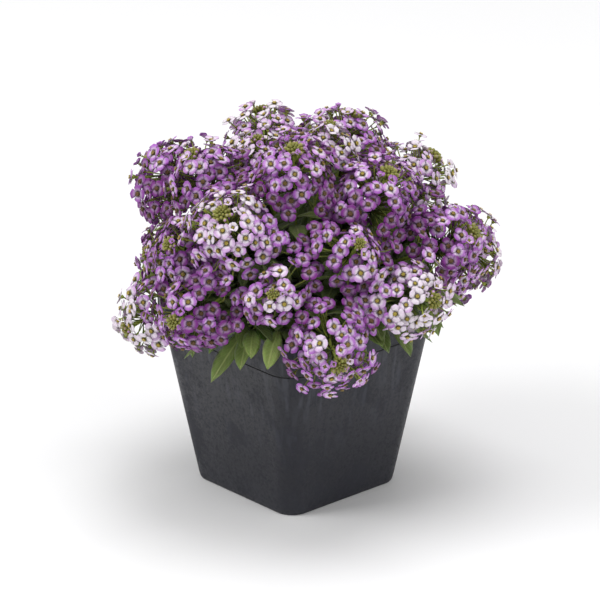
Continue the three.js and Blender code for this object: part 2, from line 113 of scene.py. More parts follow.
class PotSettings(bpy.types.PropertyGroup):
    """The square pot and the soil in it."""

    height: length("Height", "From the flat base to the rim", 80)
    base_half: length("Base half width", "Half the width across the foot", 29.5)
    base_corner: length("Base corner", "Radius of the foot's corners", 8)
    wall_top_half: length("Wall top half width", "Half the width just under the band", 40)
    wall_corner: length("Wall corner", "Corner radius just under the band", 10.5)
    band_height: length("Band height", "Height of the wider band round the rim", 14.5)
    band_low_half: length("Band half width", "Half the width at the band's lower edge", 41.3)
    rim_half: length("Rim half width", "Half the width across the rim", 42.5)
    rim_corner: length("Rim corner", "Radius of the rim's corners", 12)
    wall: length("Wall", "Thickness of the plastic", 1.1)
    drain_radius: length("Drain radius", "Radius of the four drain holes", 4)
    drain_offset: length("Drain offset", "Each drain's distance from the middle lines", 17)
    soil_top: length("Soil level", "Height of the soil's surface", 70)
    soil_bump: length("Soil bumps", "Height of the bumps on the soil", 1.6)
    root_depth: length("Root depth", "How deep the stems stand in the soil", 10.2)
    crumbs: count("Crumbs", "Loose crumbs on the soil", 260)
    plastic: tint("Plastic", "The moulded plastic", 24, 25, 34)
    dust: tint("Dust", "Dried soil rubbed into the plastic", 64, 66, 76)
    peat: tint("Peat", "Dark part of the soil", 33, 23, 17)
    fibre: tint("Fibre", "Light fibres in the soil", 96, 66, 42)


class CanopySettings(bpy.types.PropertyGroup):
    """The dome of flower heads and the stems that carry it."""

    centre_x: length("Centre X", "Middle of the dome", 2.5, -1)
    centre_y: length("Centre Y", "Middle of the dome", -2.5, -1)
    centre_z: length("Centre height", "Middle of the dome", 79)
    radius: length("Radius", "From the middle to the heads' centres", 60)
    uneven: length("Unevenness", "How far a head may stand in or out", 8)
    widest: angle("Widest", "Angle from upright to the lowest heads", 92)
    first: angle("First azimuth", "Where the spiral of heads begins", 48)
    rounds: count("Rounds", "Rounds of making room between heads", 150)
    heads: count("Heads", "Number of flower heads", 26)
    head_low: length("Smallest head", "Radius of the smallest head", 10.5)
    head_high: length("Largest head", "Radius of the largest head", 18.5)
    head_gap: length("Head gap", "Room between heads", 0.5)
    focus_share: share("Focus", "How far out the point is that a head faces away from", 0.45)
    focus_z: length("Focus height", "Height of that point", 89)
    tuft_share: share("Tuft height", "Height of the buds as a share of the head's radius", 0.6)
    sectors: count("Sectors", "Number of outer stems", 8)
    stem_radius: length("Stem radius", "Radius of a leader at the soil", 1.4)
    branch_radius: length("Branch radius", "Radius of a branch", 1.05)
    stalk_radius: length("Stalk radius", "Radius of a stalk inside its head", 0.9)
    strays: count("Stray florets", "Places tried for florets between heads", 700)
    stray_gap: length("Stray gap", "Room between stray florets", 5.2)


class LeafSettings(bpy.types.PropertyGroup):
    """Leaves on stems, branches, shoots and twigs."""

    slots: count("Leaf slots", "Places for leaves on each stem", 28)
    shoot_slots: count("Shoot slots", "Places for leaves on each low shoot", 10)
    twig_slots: count("Twig leaf slots", "Places for leaves on each twig", 9)
    small_slots: count("Small leaf slots", "Places for small leaves on each stem", 160)
    tries: count("Leaf tries", "Directions that each leaf tries", 19)
    small_tries: count("Small leaf tries", "Directions that each small leaf tries", 30)
    shoot_tries: count("Shoot tries", "Places that each shoot tries", 30)
    twig_tries: count("Twig tries", "Places that each stem tries for thin twigs", 60)
    length_low: length("Shortest leaf", "Length of the shortest large leaf", 18)
    length_high: length("Longest leaf", "Length of the longest leaf", 30)
    half_width: length("Half width", "Half the width of a usual leaf", 4)
    small_half_width: length("Small half width", "Half the width of a small leaf", 2.9)
    thickness: length("Thickness", "Thickness of a blade", 0.35)
    # Dark green also stands for painted shade on blades deep inside the canopy; fresh green for the unshaded
    # blades outside.
    dark: tint("Dark green", "Older blades", 52, 72, 36)
    fresh_and_lit: tint("Fresh green", "Younger blades", 160, 180, 100)
    rib: tint("Rib", "Ribs and blade edges", 184, 196, 124)
    stem: tint("Stem", "Stems and stalks", 178, 198, 84)


class FloretSettings(bpy.types.PropertyGroup):
    """The small four-petalled flowers."""

    radius: length("Floret radius", "From the middle to a petal's end", 3.5)
    spacing: length("Floret spacing", "Distance between neighbours", 6.15)
    white: tint("White lilac", "Youngest petals", 238, 226, 238)
    pale: tint("Pale lilac", "Young petals", 208, 160, 220)
    lilac: tint("Lilac", "Full-grown petals", 176, 106, 198)
    deep: tint("Deep purple", "Oldest petals", 116, 36, 124)
    eye_young: tint("Young eye", "Middle of a young floret", 168, 156, 66)
    eye_old: tint("Old eye", "Middle of an old floret", 74, 30, 40)
    pollen: tint("Pollen", "Anthers", 214, 190, 92)
    bud: tint("Bud", "Unopened buds", 168, 168, 84)


class StageSettings(bpy.types.PropertyGroup):
    """Floor, light and camera."""

    azimuth: angle("Azimuth", "The camera's turn round the pot", 48)
    elevation: angle("Elevation", "The camera's height above level", 22)
    distance: length("Distance", "From the camera to the plant", 2200)
    view_width: length("View width", "Width of what the camera sees", 236)
    floor_half: length("Floor half width", "Half the width of the floor", 6000)


def mm(value):
    """A stored length in whole thousandths of a millimetre, as the model's own numbers are."""
    return round(value / MM, 3)


def chance(item, trait):
    """A fixed number from 0 to 1 for each numbered trait of each numbered item."""
    wave = math.sin(item * 127.1 + trait * 311.7) * 43758.5453
    return wave - math.floor(wave)


def either_way(item, trait):
    """A fixed number from -0.5 to 0.5."""
    return chance(item, trait) - 0.5


def any_angle(item, trait):
    """A fixed angle round the whole turn."""
    return 6.28 * chance(item, trait)


def mix(low, high, t):
    """The value a share t of the way from low to high."""
    return (1 - t) * low + t * high


def unit(vector):
    """The vector at length 1."""
    size = math.sqrt(float(vector @ vector))
    return vector / size if size else vector


def smooth(t):
    """A soft step from 0 to 1."""
    t = np.clip(t, 0, 1)
    return t * t * (3 - 2 * t)


def heading(azimuth):
    """The level direction at an azimuth."""
    return np.array([math.cos(azimuth), math.sin(azimuth), 0])


def azimuth_of(vector):
    """The azimuth at which a direction points."""
    return math.atan2(vector[1], vector[0])


def pointing(polar, azimuth):
    """The direction at an angle from upright and an azimuth."""
    level = math.sin(polar)
    return np.array([level * math.cos(azimuth), level * math.sin(azimuth), math.cos(polar)])


# ------------------------------------------------------------------ how the plant grows, in millimetres
# Each draw depends only on the numbers of its item and its trait, so that one more of anything moves no other.


class Rim:
    """The pot's rim, which everything that grows keeps clear of."""

    def __init__(self, pot):
        self.half = mm(pot.rim_half)
        self.corner = mm(pot.rim_corner)
        self.top = mm(pot.height)

    def outside(self, point):
        """How far a point lies outside the rim's outline, measured level. It is negative inside."""
        x = abs(point[0]) - (self.half - self.corner)
        y = abs(point[1]) - (self.half - self.corner)
        past = math.hypot(max(x, 0), max(y, 0))
        return past + min(max(x, y), 0) - self.corner

    def gap(self, point):
        """The distance to the pot's wall, taken as upright and 2 mm thick."""
        across = max(abs(self.outside(point) + 1) - 1, 0)
        above = max(point[2] - self.top, 0)
        return math.hypot(across, above)


class Head:
    """One flower head: a ball of florets round its stalk."""

    def __init__(self, index, place, radius):
        self.index = index
        self.place = place
        self.radius = radius
        self.strays = []


class Stem:
    """One leafy stem, with a path for each of its heads."""

    def __init__(self, index, foot, outward):
        self.index = index
        self.foot = foot
        self.outward = outward
        self.heads = []
        self.paths = []
        self.curves = []
        self.shoot = None
        self.shoot_curve = None
        self.twigs = []


class Leaf:
    """One blade, which runs out from its root and bends down under its weight. Young blades are rounder."""

    def __init__(self, root, direction, size, droop, half_width, stem, freshness_and_shade, young):
        self.root = root
        self.direction = direction
        self.size = size
        self.droop = droop
        self.half_width = half_width
        self.stem = stem
        # Its freshness is lowered deep inside the canopy as painted shade.
        self.freshness_and_shade = freshness_and_shade
        self.young = young

    def point(self, t):
        """The middle of the blade, a share t of the way out."""
        return self.root + self.direction * self.size * t - UP * (self.droop * self.size * t * t)


def bezier(ends, steps):
    """Points along the curve of four control points."""
    t = (np.arange(steps + 1) / steps)[:, None]
    a, b, c, d = ends
    return (1 - t) ** 3 * a + 3 * (1 - t) ** 2 * t * b + 3 * (1 - t) * t * t * c + t**3 * d


def point_on(path, place):
    """The point at a place on a path, counted in whole points and the share to the next one."""
    knot = min(int(place), len(path) - 2)
    return mix(path[knot], path[knot + 1], place - knot)


def bend(start, out, into, end):
    """The four points of a curve that leaves start along out and reaches end along into."""
    reach = 0.35 * math.dist(start, end)
    return start, start + out * reach, end - into * reach, end


class Balls:
    """Balls that fill the heads, stems and leaves, for keeping new growth clear of them."""

    def __init__(self):
        self.places = np.zeros((0, 3))
        self.radii = np.zeros(0)
        self.stems = np.zeros(0)

    def add(self, places, radius, stem=-1):
        """Adds a ball at each place, and remembers the stem that it belongs to."""
        places = np.atleast_2d(places)
        self.places = np.concatenate([self.places, places])
        self.radii = np.concatenate([self.radii, np.full(len(places), radius)])
        self.stems = np.concatenate([self.stems, np.full(len(places), stem)])

    def clear(self, place, room, stem=None, own_room=0.0):
        """Whether a place has room round it. The balls of its own stem may be nearer or farther."""
        rooms = room if stem is None else np.where(self.stems == stem, own_room, room)
        return bool(np.all(np.linalg.norm(self.places - place, axis=1) > self.radii + rooms))


def between(path):
    """Points a third of the way apart along each stretch of a path."""
    places = []
    for a, b in zip(path[:-1], path[1:]):
        places += [mix(a, b, t) for t in (0, 0.33, 0.67)]
    return np.array(places)


class Plant:
    """Works out where every head, stem, shoot and leaf is, in the same way as the model's own solids."""

    HEAD_ROOM = 1
    DOME_ROOM = 4
    LEADER_STEPS = 5
    BRANCH_STEPS = 4
    SHOOT_STEPS = 4
    TWIG_STEPS = 8
    FINE = 4
    ROOT_RING, ROOT_SCATTER = 13, 3
    STEM_LEAN = 0.35
    FORK_RISE = 0.8
    MIDDLE_STEM_REACH = 22
    SHOOT_REACH = 52
    SHOOT_GAP = 0.8
    TWIG_ROOM = {"rim": 1.4, "others": 0.3, "own_stem": -3}
    TWIG_RADIUS = 0.5
    SHOOT_SLOPES = (-0.45, 0.6)
    STEM_SLOPES = (-0.05, 1.05)
    TWIG_SLOPES = (-0.6, 0.6)
    SMALL_SLOPES = (-0.4, 1.2)
    TWIG_LEAVES = (13, 25)
    SMALL_LEAVES = (8, 17)
    TWIG_LEAF_WIDTH = 1.35
    SQUEEZE = 0.5
    SHADE_DEPTH, SHADE_FADE = 42, 24
    STRAY_SPREAD = 0.84
    STRAY_ROOM = (1.2, 9)
    STRAY_CHANCE = 0.6

    def __init__(self, scene):
        self.pot = scene.alyssum_pot
        self.canopy = scene.alyssum_canopy
        self.foliage = scene.alyssum_leaves
        self.rim = Rim(self.pot)
        c = self.canopy
        self.centre = np.array([mm(c.centre_x), mm(c.centre_y), mm(c.centre_z)])
        self.stem_radius = mm(c.stem_radius)
        self.branch_radius = mm(c.branch_radius)
        self.radius, self.uneven = mm(c.radius), mm(c.uneven)
        self.reach = self.radius + self.uneven + self.DOME_ROOM
        self.heads = self.start_heads()
        self.make_room()
        self.aim_heads()
        self.place_stems()
        self.fill_space()
        self.place_shoots()
        self.leaves = []
        self.place_leaves()
        self.place_twigs()
        self.place_small_leaves()
        self.place_strays()

    def start_heads(self):
        """The heads start on a golden spiral over the dome, each a little in or out of it."""
        c = self.canopy
        first = math.radians(round(math.degrees(c.first), 3))
        widest = math.cos(math.radians(round(math.degrees(c.widest), 3)))
        heads = []
        for i in range(c.heads):
            polar = math.acos(1 - ((i + 0.5) / c.heads) * (1 - widest))
            outward = pointing(polar, first + i * GOLDEN_ANGLE)
            reach = self.radius + self.uneven * (2 * chance(i, 1) - 1)
            size = mix(mm(c.head_low), mm(c.head_high), chance(i, 2))
            heads.append(Head(i, self.centre + outward * reach, size))
        return heads

    def make_room(self):
        """The heads push each other and the rim aside, and shrink where they still touch."""
        gap = mm(self.canopy.head_gap)
        pairs = [(a, b) for i, a in enumerate(self.heads) for b in self.heads[i + 1 :]]

        def overlap(a, b):
            """How far two heads reach into each other, their gap included."""
            return max(a.radius + b.radius + gap - math.dist(a.place, b.place), 0)

        for _ in range(self.canopy.rounds):
            for a, b in pairs:
                half = overlap(a, b) / 2
                if half:
                    push = unit(b.place - a.place) * half
                    a.place = a.place - push
                    b.place = b.place + push
            for head in self.heads:
                out = head.place - self.centre
                size = math.sqrt(float(out @ out))
                out = out / size * min(max(size, self.radius - self.uneven), self.radius + self.uneven)
                head.place = self.centre + out
                short = max(head.radius + self.HEAD_ROOM - self.rim.gap(head.place), 0)
                away = unit(unit(head.place * [1, 1, 0]) + UP)
                head.place = head.place + away * short
        for a, b in pairs:
            half = overlap(a, b) / 2
            a.radius -= half
            b.radius -= half

    def aim_heads(self):
        """Each head faces away from a point inside the canopy, the low ones a little downward."""
        focus_share = round(self.canopy.focus_share, 3)
        tuft_share = round(self.canopy.tuft_share, 3)
        for head in self.heads:
            focus_z = mm(self.canopy.focus_z) + 0.8 * max(self.rim.top + 4 - head.place[2], 0)
            focus = np.array([head.place[0] * focus_share, head.place[1] * focus_share, focus_z])
            head.axis = unit(head.place - focus)
            head.neck = head.place - head.axis * 0.5 * head.radius
            head.tip = head.place + head.axis * tuft_share * head.radius

    def place_stems(self):
        """One stem in the middle and one in each sector. Branches leave the leader one after another."""
        sectors = self.canopy.sectors
        stems = []
        for s in range(sectors + 1):
            outward = heading((s - 1) * 2 * math.pi / sectors) if s else np.zeros(3)
            stems.append(Stem(s, outward * (self.ROOT_RING + self.ROOT_SCATTER * chance(s, 3)), outward))
        for head in self.heads:
            sector = (math.floor(azimuth_of(head.place) * sectors / (2 * math.pi) + 0.5) + sectors) % sectors
            inner = math.hypot(head.place[0], head.place[1]) < self.MIDDLE_STEM_REACH
            stems[0 if inner else sector + 1].heads.append(head)
        soil_top, depth = mm(self.pot.soil_top), mm(self.pot.root_depth)
        for stem in stems:
            stem.heads.sort(key=lambda head: -head.place[2])
            ground = stem.foot + UP * (soil_top + 1.5)
            rise = unit(UP + stem.outward * self.STEM_LEAN)
            root = stem.foot + UP * (soil_top - depth)
            for n, head in enumerate(stem.heads):
                if n == 0:
                    ends, steps, below = bend(ground, rise, head.axis, head.neck), self.LEADER_STEPS, [root]
                else:
                    start = stem.paths[0][min(1 + n, 3)]
                    fork = unit(head.axis + rise * self.FORK_RISE)
                    ends, steps, below = bend(start, fork, head.axis, head.neck), self.BRANCH_STEPS, []
                stem.paths.append(np.array([*below, *bezier(ends, steps), head.tip]))
                stem.curves.append(np.array([*below, *bezier(ends, steps * self.FINE), head.tip]))
        self.stems = [stem for stem in stems if stem.heads]
        self.outer_stems = [stem for stem in self.stems if stem.index]

    def fill_space(self):
        """Heads and stems take their space before anything else grows."""
        self.balls = Balls()
        for head in self.heads:
            self.balls.add(head.place, head.radius + 0.4)
        for stem in self.stems:
            for path in stem.paths:
                self.balls.add(between(path), self.stem_radius, stem.index)

    def over_rim(self, stem, item, fan, insets, lifts):
        """A level way out from a stem, and the place near the rim where a shoot or twig would end."""
        outward = heading(azimuth_of(stem.outward) + fan * either_way(item, 13))
        rim = self.rim.half / max(abs(outward[0]), abs(outward[1]))
        reach = min(rim, self.SHOOT_REACH) - mix(*insets, chance(item, 14))
        return outward, outward * reach + UP * (self.rim.top + mix(*lifts, chance(item, 15)))

    def way_clear(self, path, stem, rim, others, own_stem):
        """Whether points keep given distances from the rim, from other growth and from their own stem."""
        return all(self.rim.gap(p) >= rim and self.balls.clear(p, others, stem.index, own_stem) for p in path)

    def place_shoots(self):
        """Each outer stem puts out one low shoot without a flower, over the rim where there is room."""
        radius, room = self.branch_radius, self.branch_radius + self.SHOOT_GAP
        for stem in self.outer_stems:
            for attempt in range(self.foliage.shoot_tries):
                item = stem.index * 40 + attempt
                outward, end = self.over_rim(stem, item, fan=0.9, insets=(8, 1), lifts=(4, 10))
                ends = bend(stem.paths[0][2], unit(UP + stem.outward * 0.8), outward, end)
                shoot = bezier(ends, self.SHOOT_STEPS)
                tail = between(shoot[1:])
                if self.way_clear(tail, stem, rim=room, others=room, own_stem=1):
                    stem.shoot = shoot
                    stem.shoot_curve = bezier(ends, self.SHOOT_STEPS * self.FINE)
                    self.balls.add(tail, radius, stem.index)
                    break

    def place_twigs(self):
        """Thin leafy twigs run from each outer stem to the rim, between the heads."""
        for stem in self.outer_stems:
            for attempt in range(self.foliage.twig_tries):
                item = 5000 + stem.index * 40 + attempt
                outward, end = self.over_rim(stem, item, fan=1.1, insets=(14, 0), lifts=(1, 8))
                start = stem.curves[0][2 + attempt % 5]
                twig = bezier(bend(start, unit(UP * 0.6 + outward), outward, end), self.TWIG_STEPS)
                tail = twig[2:]
                if self.way_clear(tail, stem, **self.TWIG_ROOM):
                    stem.twigs.append(twig)
                    self.balls.add(tail, self.TWIG_RADIUS, stem.index)

    def free(self, leaf, squeeze):
        """Whether a leaf touches no head, stem, leaf or pot. Small leaves squeeze in more closely."""
        for t in (0.35, 0.55, 0.75, 0.97):
            point = leaf.point(t)
            room = leaf.half_width * squeeze * (0.35 if t > 0.9 else 0.85)
            in_pot = self.rim.outside(point) < 0 and point[2] < mm(self.pot.soil_top) + 2 + room
            if in_pot or self.rim.gap(point) < room * 0.6 + 0.5 or not self.balls.clear(point, room):
                return False
        return True

    def grow(self, stem, item, root, slopes, sizes, half_width, squeeze=1.0):
        """A leaf tries one direction after another, and is left out if none is free."""
        young = squeeze < 1
        facing = azimuth_of(root - self.centre)
        for attempt in range(self.foliage.small_tries if young else self.foliage.tries):
            azimuth = facing + 2.8 * either_way(item, 10 + attempt)
            slope = mix(*slopes, chance(item, 30 + attempt))
            direction = math.cos(slope) * heading(azimuth) + math.sin(slope) * UP
            size = mix(*sizes, chance(item, 5)) * (0.8 if attempt > 6 else 1)
            droop = mix(0.1, 0.4, chance(item, 6))
            half = half_width * mix(0.8, 1.1, chance(item, 7))
            # Painted shade: a blade that ends deep inside the canopy is darker green, on top of its own chance
            # of being older.
            depth = math.dist(root + direction * size, self.centre) - self.SHADE_DEPTH
            freshness_and_shade = (0.3 + 0.7 * float(smooth(depth / self.SHADE_FADE))) * mix(0.4, 1, chance(item, 17))
            leaf = Leaf(root, direction, size, droop, half, stem.index, freshness_and_shade, young)
            if self.free(leaf, squeeze):
                self.leaves.append(leaf)
                self.balls.add([leaf.point(t) for t in (0.35, 0.6, 0.85)], half * 0.7 * squeeze)
                return

    def place_leaves(self):
        """Large leaves, on the low shoots first and then on the stems and branches."""
        f = self.foliage
        sizes = (mm(f.length_low), mm(f.length_high))
        half = mm(f.half_width)
        for stem in self.stems:
            for slot in range(f.shoot_slots if stem.shoot is not None else 0):
                item = stem.index * 40 + slot
                t = 0.98 if slot == 0 else mix(0.45, 0.9, chance(item, 16))
                root = point_on(stem.shoot, t * self.SHOOT_STEPS)
                self.grow(stem, item + f.slots, root, self.SHOOT_SLOPES, sizes, half)
        for stem in self.stems:
            for slot in range(f.slots):
                item = stem.index * 40 + slot
                path = stem.paths[slot % len(stem.paths)]
                knot = 1 + ((slot * 2 + stem.index) % (len(path) - 3))
                root = mix(path[knot], path[knot + 1], 0.2 + 0.6 * chance(item, 4))
                self.grow(stem, item, root, self.STEM_SLOPES, sizes, half)

    def place_small_leaves(self):
        """Young leaves fill the stretches that are too tight for large ones."""
        slots = self.foliage.twig_slots
        half = mm(self.foliage.small_half_width)
        wide = self.TWIG_LEAF_WIDTH * half
        for stem in self.stems:
            for n, twig in enumerate(stem.twigs):
                for slot in range(slots):
                    item = 4000 + stem.index * 400 + n * 12 + slot
                    root = point_on(twig, self.TWIG_STEPS - 6.5 * slot / slots)
                    self.grow(stem, item, root, self.TWIG_SLOPES, self.TWIG_LEAVES, wide, self.SQUEEZE)
        for stem in self.stems:
            curves = stem.curves + ([stem.shoot_curve] if stem.shoot is not None else [])
            for slot in range(self.foliage.small_slots):
                item = 1000 + stem.index * 200 + slot
                path = curves[slot % len(curves)]
                root = point_on(path, mix(3, len(path) - 3, chance(item, 4)))
                self.grow(stem, item, root, self.SMALL_SLOPES, self.SMALL_LEAVES, half, self.SQUEEZE)

    def place_strays(self):
        """Single florets close the gaps between heads, each on a long stalk of the nearest head."""
        taken = Balls()
        tries, gap = self.canopy.strays, mm(self.canopy.stray_gap)
        near, far = self.STRAY_ROOM
        for k in range(tries):
            item = 3000 + k
            outward = pointing(math.acos(1 - self.STRAY_SPREAD * (k + 0.5) / tries), k * GOLDEN_ANGLE)
            nearest = min(self.heads, key=lambda head: -float(unit(head.place - self.centre) @ outward))
            reach = math.dist(nearest.place, self.centre) + mix(-8, 6, chance(item, 1))
            place = self.centre + outward * reach
            owner = min(self.heads, key=lambda head: math.dist(head.place, place) - head.radius)
            room = math.dist(owner.place, place) - owner.radius
            if near < room < far and chance(item, 2) < self.STRAY_CHANCE and taken.clear(place, gap):
                owner.strays.append((item, place, outward))
                taken.add(place, 0)


# ------------------------------------------------------------------ closed skins


NO_TONE = (0, 0, 0, 0)


class Skin:
    """Gathers closed bodies for one mesh, with a tone for each point and a finish for each face."""

    def __init__(self):
        self.points, self.faces, self.tones, self.finishes = [], [], [], []
        self.total = 0

    def add(self, points, faces, tones=NO_TONE, finish=0):
        """Adds a body. Tones are four numbers, for each of its points or for all of them."""
        self.points.append(points)
        self.faces.append(np.asarray(faces) + self.total)
        self.tones.append(np.broadcast_to(tones, (len(points), 4)))
        self.finishes.append(np.full(len(faces), finish))
        self.total += len(points)

    def build(self, name, *materials):
        """The mesh object, in metres, smooth all over."""
        faces = np.concatenate(self.faces)
        points = np.concatenate(self.points) * MM
        mesh = bpy.data.meshes.new(name)
        mesh.vertices.add(len(points))
        mesh.vertices.foreach_set("co", points.astype(np.float32).ravel())
        mesh.loops.add(faces.size)
        mesh.loops.foreach_set("vertex_index", faces.astype(np.int32).ravel())
        mesh.polygons.add(len(faces))
        mesh.polygons.foreach_set("loop_start", np.arange(0, faces.size, 3, dtype=np.int32))
        mesh.polygons.foreach_set("material_index", np.concatenate(self.finishes).astype(np.int32))
        mesh.polygons.foreach_set("use_smooth", np.ones(len(faces), bool))
        mesh.update(calc_edges=True)
        tone = mesh.attributes.new("tone", "FLOAT_COLOR", "POINT")
        tone.data.foreach_set("color", np.concatenate(self.tones).astype(np.float32).ravel())
        for material in materials:
            mesh.materials.append(material)
        piece = bpy.data.objects.new(name, mesh)
        bpy.context.scene.collection.objects.link(piece)
        return piece


def stacked(*parts):
    """The parts side by side along a last axis, each spread over the shape of them all."""
    return np.stack(np.broadcast_arrays(*parts), axis=-1)


def ring(radius, z, sides, middle=(0, 0), start=0.0):
    """A level ring of points, begun a share of a step round from X."""
    turn = (np.arange(sides) + start) * 2 * math.pi / sides
    x, y = middle[0] + radius * np.cos(turn), middle[1] + radius * np.sin(turn)
    return stacked(x, y, float(z))


def spun(points, angle):
    """Points turned about Z."""
    c, s = math.cos(angle), math.sin(angle)
    return points @ np.array([[c, s, 0], [-s, c, 0], [0, 0, 1]])


def lifted(points, angle):
    """Points turned up about Y, away from X."""
    c, s = math.cos(angle), math.sin(angle)
    return points @ np.array([[c, 0, s], [0, 1, 0], [-s, 0, c]])


def split(quads):
    """Two triangles for each quad."""
    quads = np.asarray(quads)
    return np.concatenate([quads[:, [0, 1, 2]], quads[:, [0, 2, 3]]])


def loft(rings, start=None, end=None):
    """A closed skin over rings of points, its ends closed on a point each."""
    rings = np.asarray(rings)
    rows, size = rings.shape[:2]
    start = rings[0].mean(axis=0) if start is None else start
    end = rings[-1].mean(axis=0) if end is None else end
    points = np.concatenate([rings.reshape(-1, 3), [start], [end]])
    k = np.arange(size)
    turn = (k + 1) % size
    top = (rows - 1) * size
    low = np.stack([np.full(size, rows * size), turn, k], axis=1)
    high = np.stack([np.full(size, rows * size + 1), top + k, top + turn], axis=1)
    walls = []
    for r in range(rows - 1):
        here, above = r * size, (r + 1) * size
        walls.append(split(np.stack([here + k, here + turn, above + turn, above + k], axis=1)))
    return points, np.concatenate([*walls, low, high])


def tube(path, radii, sides):
    """A closed round tube along a path. Its points come with their share of the way along."""
    rows = len(path)
    radii = np.broadcast_to(radii, rows)
    forward = headings(path)
    side = np.array([1.0, 0, 0]) if abs(forward[0][0]) < 0.9 else np.array([0, 1.0, 0])
    circle = ring(1, 0, sides)
    rings = []
    for row in range(rows):
        side = unit(side - forward[row] * (side @ forward[row]))
        other = np.cross(forward[row], side)
        spokes = circle[:, :1] * side + circle[:, 1:2] * other
        rings.append(path[row] + spokes * radii[row])
    points, faces = loft(rings)
    shares = np.concatenate([np.repeat(np.linspace(0, 1, rows), sides), [0, 1]])
    return points, faces, shares


def units(vectors):
    """Each row at length 1."""
    return vectors / np.linalg.norm(vectors, axis=1)[:, None]


def headings(path):
    """The direction of a path at each of its points."""
    return units(np.gradient(path, axis=0))


def ball(sides, rows):
    """A closed unit ball."""
    polar = np.linspace(math.pi, 0, rows + 2)[1:-1]
    return loft([ring(np.sin(p), np.cos(p), sides) for p in polar], -UP, UP)


def blade_faces(rows, columns):
    """Faces of a thin closed blade: a grid, and under it a second skin that shares its border."""
    top = np.arange(rows * columns).reshape(rows, columns)
    under = top.copy()
    inner = (rows - 2) * (columns - 2)
    under[1:-1, 1:-1] = rows * columns + np.arange(inner).reshape(rows - 2, columns - 2)

    def quads(grid):
        """The faces between neighbouring rows and columns."""
        return np.stack([grid[:-1, :-1], grid[1:, :-1], grid[1:, 1:], grid[:-1, 1:]], axis=2).reshape(-1, 4)

    return np.concatenate([split(quads(top)), split(quads(under)[:, ::-1])])


def blade(top, down):
    """A blade's points from its top grid, with the second skin lowered by down inside the border."""
    under = (top - down)[1:-1, 1:-1]
    return np.concatenate([top.reshape(-1, top.shape[-1]), under.reshape(-1, top.shape[-1])])


def frame_of(axis):
    """A turn whose third column is the axis."""
    side = unit(np.cross(UP if abs(axis[2]) < 0.95 else [1.0, 0, 0], axis))
    return np.stack([side, np.cross(axis, side), axis], axis=1)


# ------------------------------------------------------------------ finishes


class Finish:
    """A node material, with short calls for the nodes that every finish here uses."""

    def __init__(self, name):
        self.material = bpy.data.materials.new(name)
        self.material.use_nodes = True
        self.nodes = self.material.node_tree.nodes
        self.links = self.material.node_tree.links

    def feed(self, socket, value):
        """Gives a socket a number, a colour, or another node's output."""
        if isinstance(value, bpy.types.NodeSocket):
            self.links.new(value, socket)
        elif isinstance(value, (int, float)):
            socket.default_value = value
        else:
            socket.default_value = (*value, 1)[: len(socket.default_value)]

    def feed_named(self, node, inputs):
        """Feeds the inputs of a node by their names, in which _ stands for a space."""
        for name, value in inputs.items():
            self.feed(node.inputs[name.replace("_", " ")], value)
        return node

    def paint(self, **inputs):
        """Feeds the shader itself."""
        self.feed_named(self.nodes["Principled BSDF"], inputs)

    def node(self, kind, *values, **inputs):
        """A new node, with its first inputs in order and others by name."""
        made = self.nodes.new("ShaderNode" + kind)
        for socket, value in zip(made.inputs, values):
            self.feed(socket, value)
        return self.feed_named(made, inputs)

    def tones(self):
        """The mesh's own tone: how far along, how far across or how purple, chance, and a fourth number."""
        read = self.node("Attribute")
        read.attribute_name = "tone"
        return (*self.node("SeparateColor", read.outputs["Color"]).outputs, read.outputs["Alpha"])

    def place(self, stretch=(1, 1, 1)):
        """The point of the piece that is being coloured."""
        return self.node("Mapping", self.node("TexCoord").outputs["Object"], Scale=stretch).outputs[0]

    def noise(self, per_metre, detail, roughness=0.55, stretch=(1, 1, 1)):
        """Soft noise from 0 to 1."""
        spot = self.place(stretch)
        made = self.node("TexNoise", Vector=spot, Scale=per_metre, Detail=detail, Roughness=roughness)
        return made.outputs["Fac"]

    def blend(self, amount, low, high):
        """A colour between two others."""
        made = self.nodes.new("ShaderNodeMix")
        made.data_type = "RGBA"
        for socket, value in ((0, amount), (6, low), (7, high)):
            self.feed(made.inputs[socket], value)
        return made.outputs[2]

    def remap(self, value, low, high, to_low=0.0, to_high=1.0):
        """A soft step from to_low, where the value is low, to to_high, where it is high."""
        made = self.node("MapRange", value, low, high, to_low, to_high)
        made.interpolation_type = "SMOOTHSTEP"
        return made.outputs[0]

    def math(self, operation, a, b=0.0, clamp=False):
        """One step of arithmetic."""
        made = self.node("Math", a, b)
        made.operation = operation
        made.use_clamp = clamp
        return made.outputs[0]

    def plus(self, first, *others):
        """A sum, kept from 0 to 1."""
        for other in others:
            first = self.math("ADD", first, other, clamp=True)
        return first

    def times(self, first, *others):
        """A product, kept from 0 to 1."""
        for other in others:
            first = self.math("MULTIPLY", first, other, clamp=True)
        return first

    def bump(self, height, distance, strength):
        """Raises the surface where the height is large."""
        made = self.node("Bump", Height=height, Distance=distance, Strength=strength)
        self.paint(Normal=made.outputs[0])


def made_once(name):
    """Names a finish. It is made when it is first asked for, and is found again afterwards."""

    def wrap(make):
        @functools.wraps(make)
        def find_or_make(*settings):
            found = bpy.data.materials.get(name)
            if found:
                return found
            finish = Finish(name)
            make(finish, *settings)
            return finish.material

        return find_or_make

    return wrap


def dimmed(colour, share):
    """A darker shade of a colour."""
    return [share * part for part in colour]


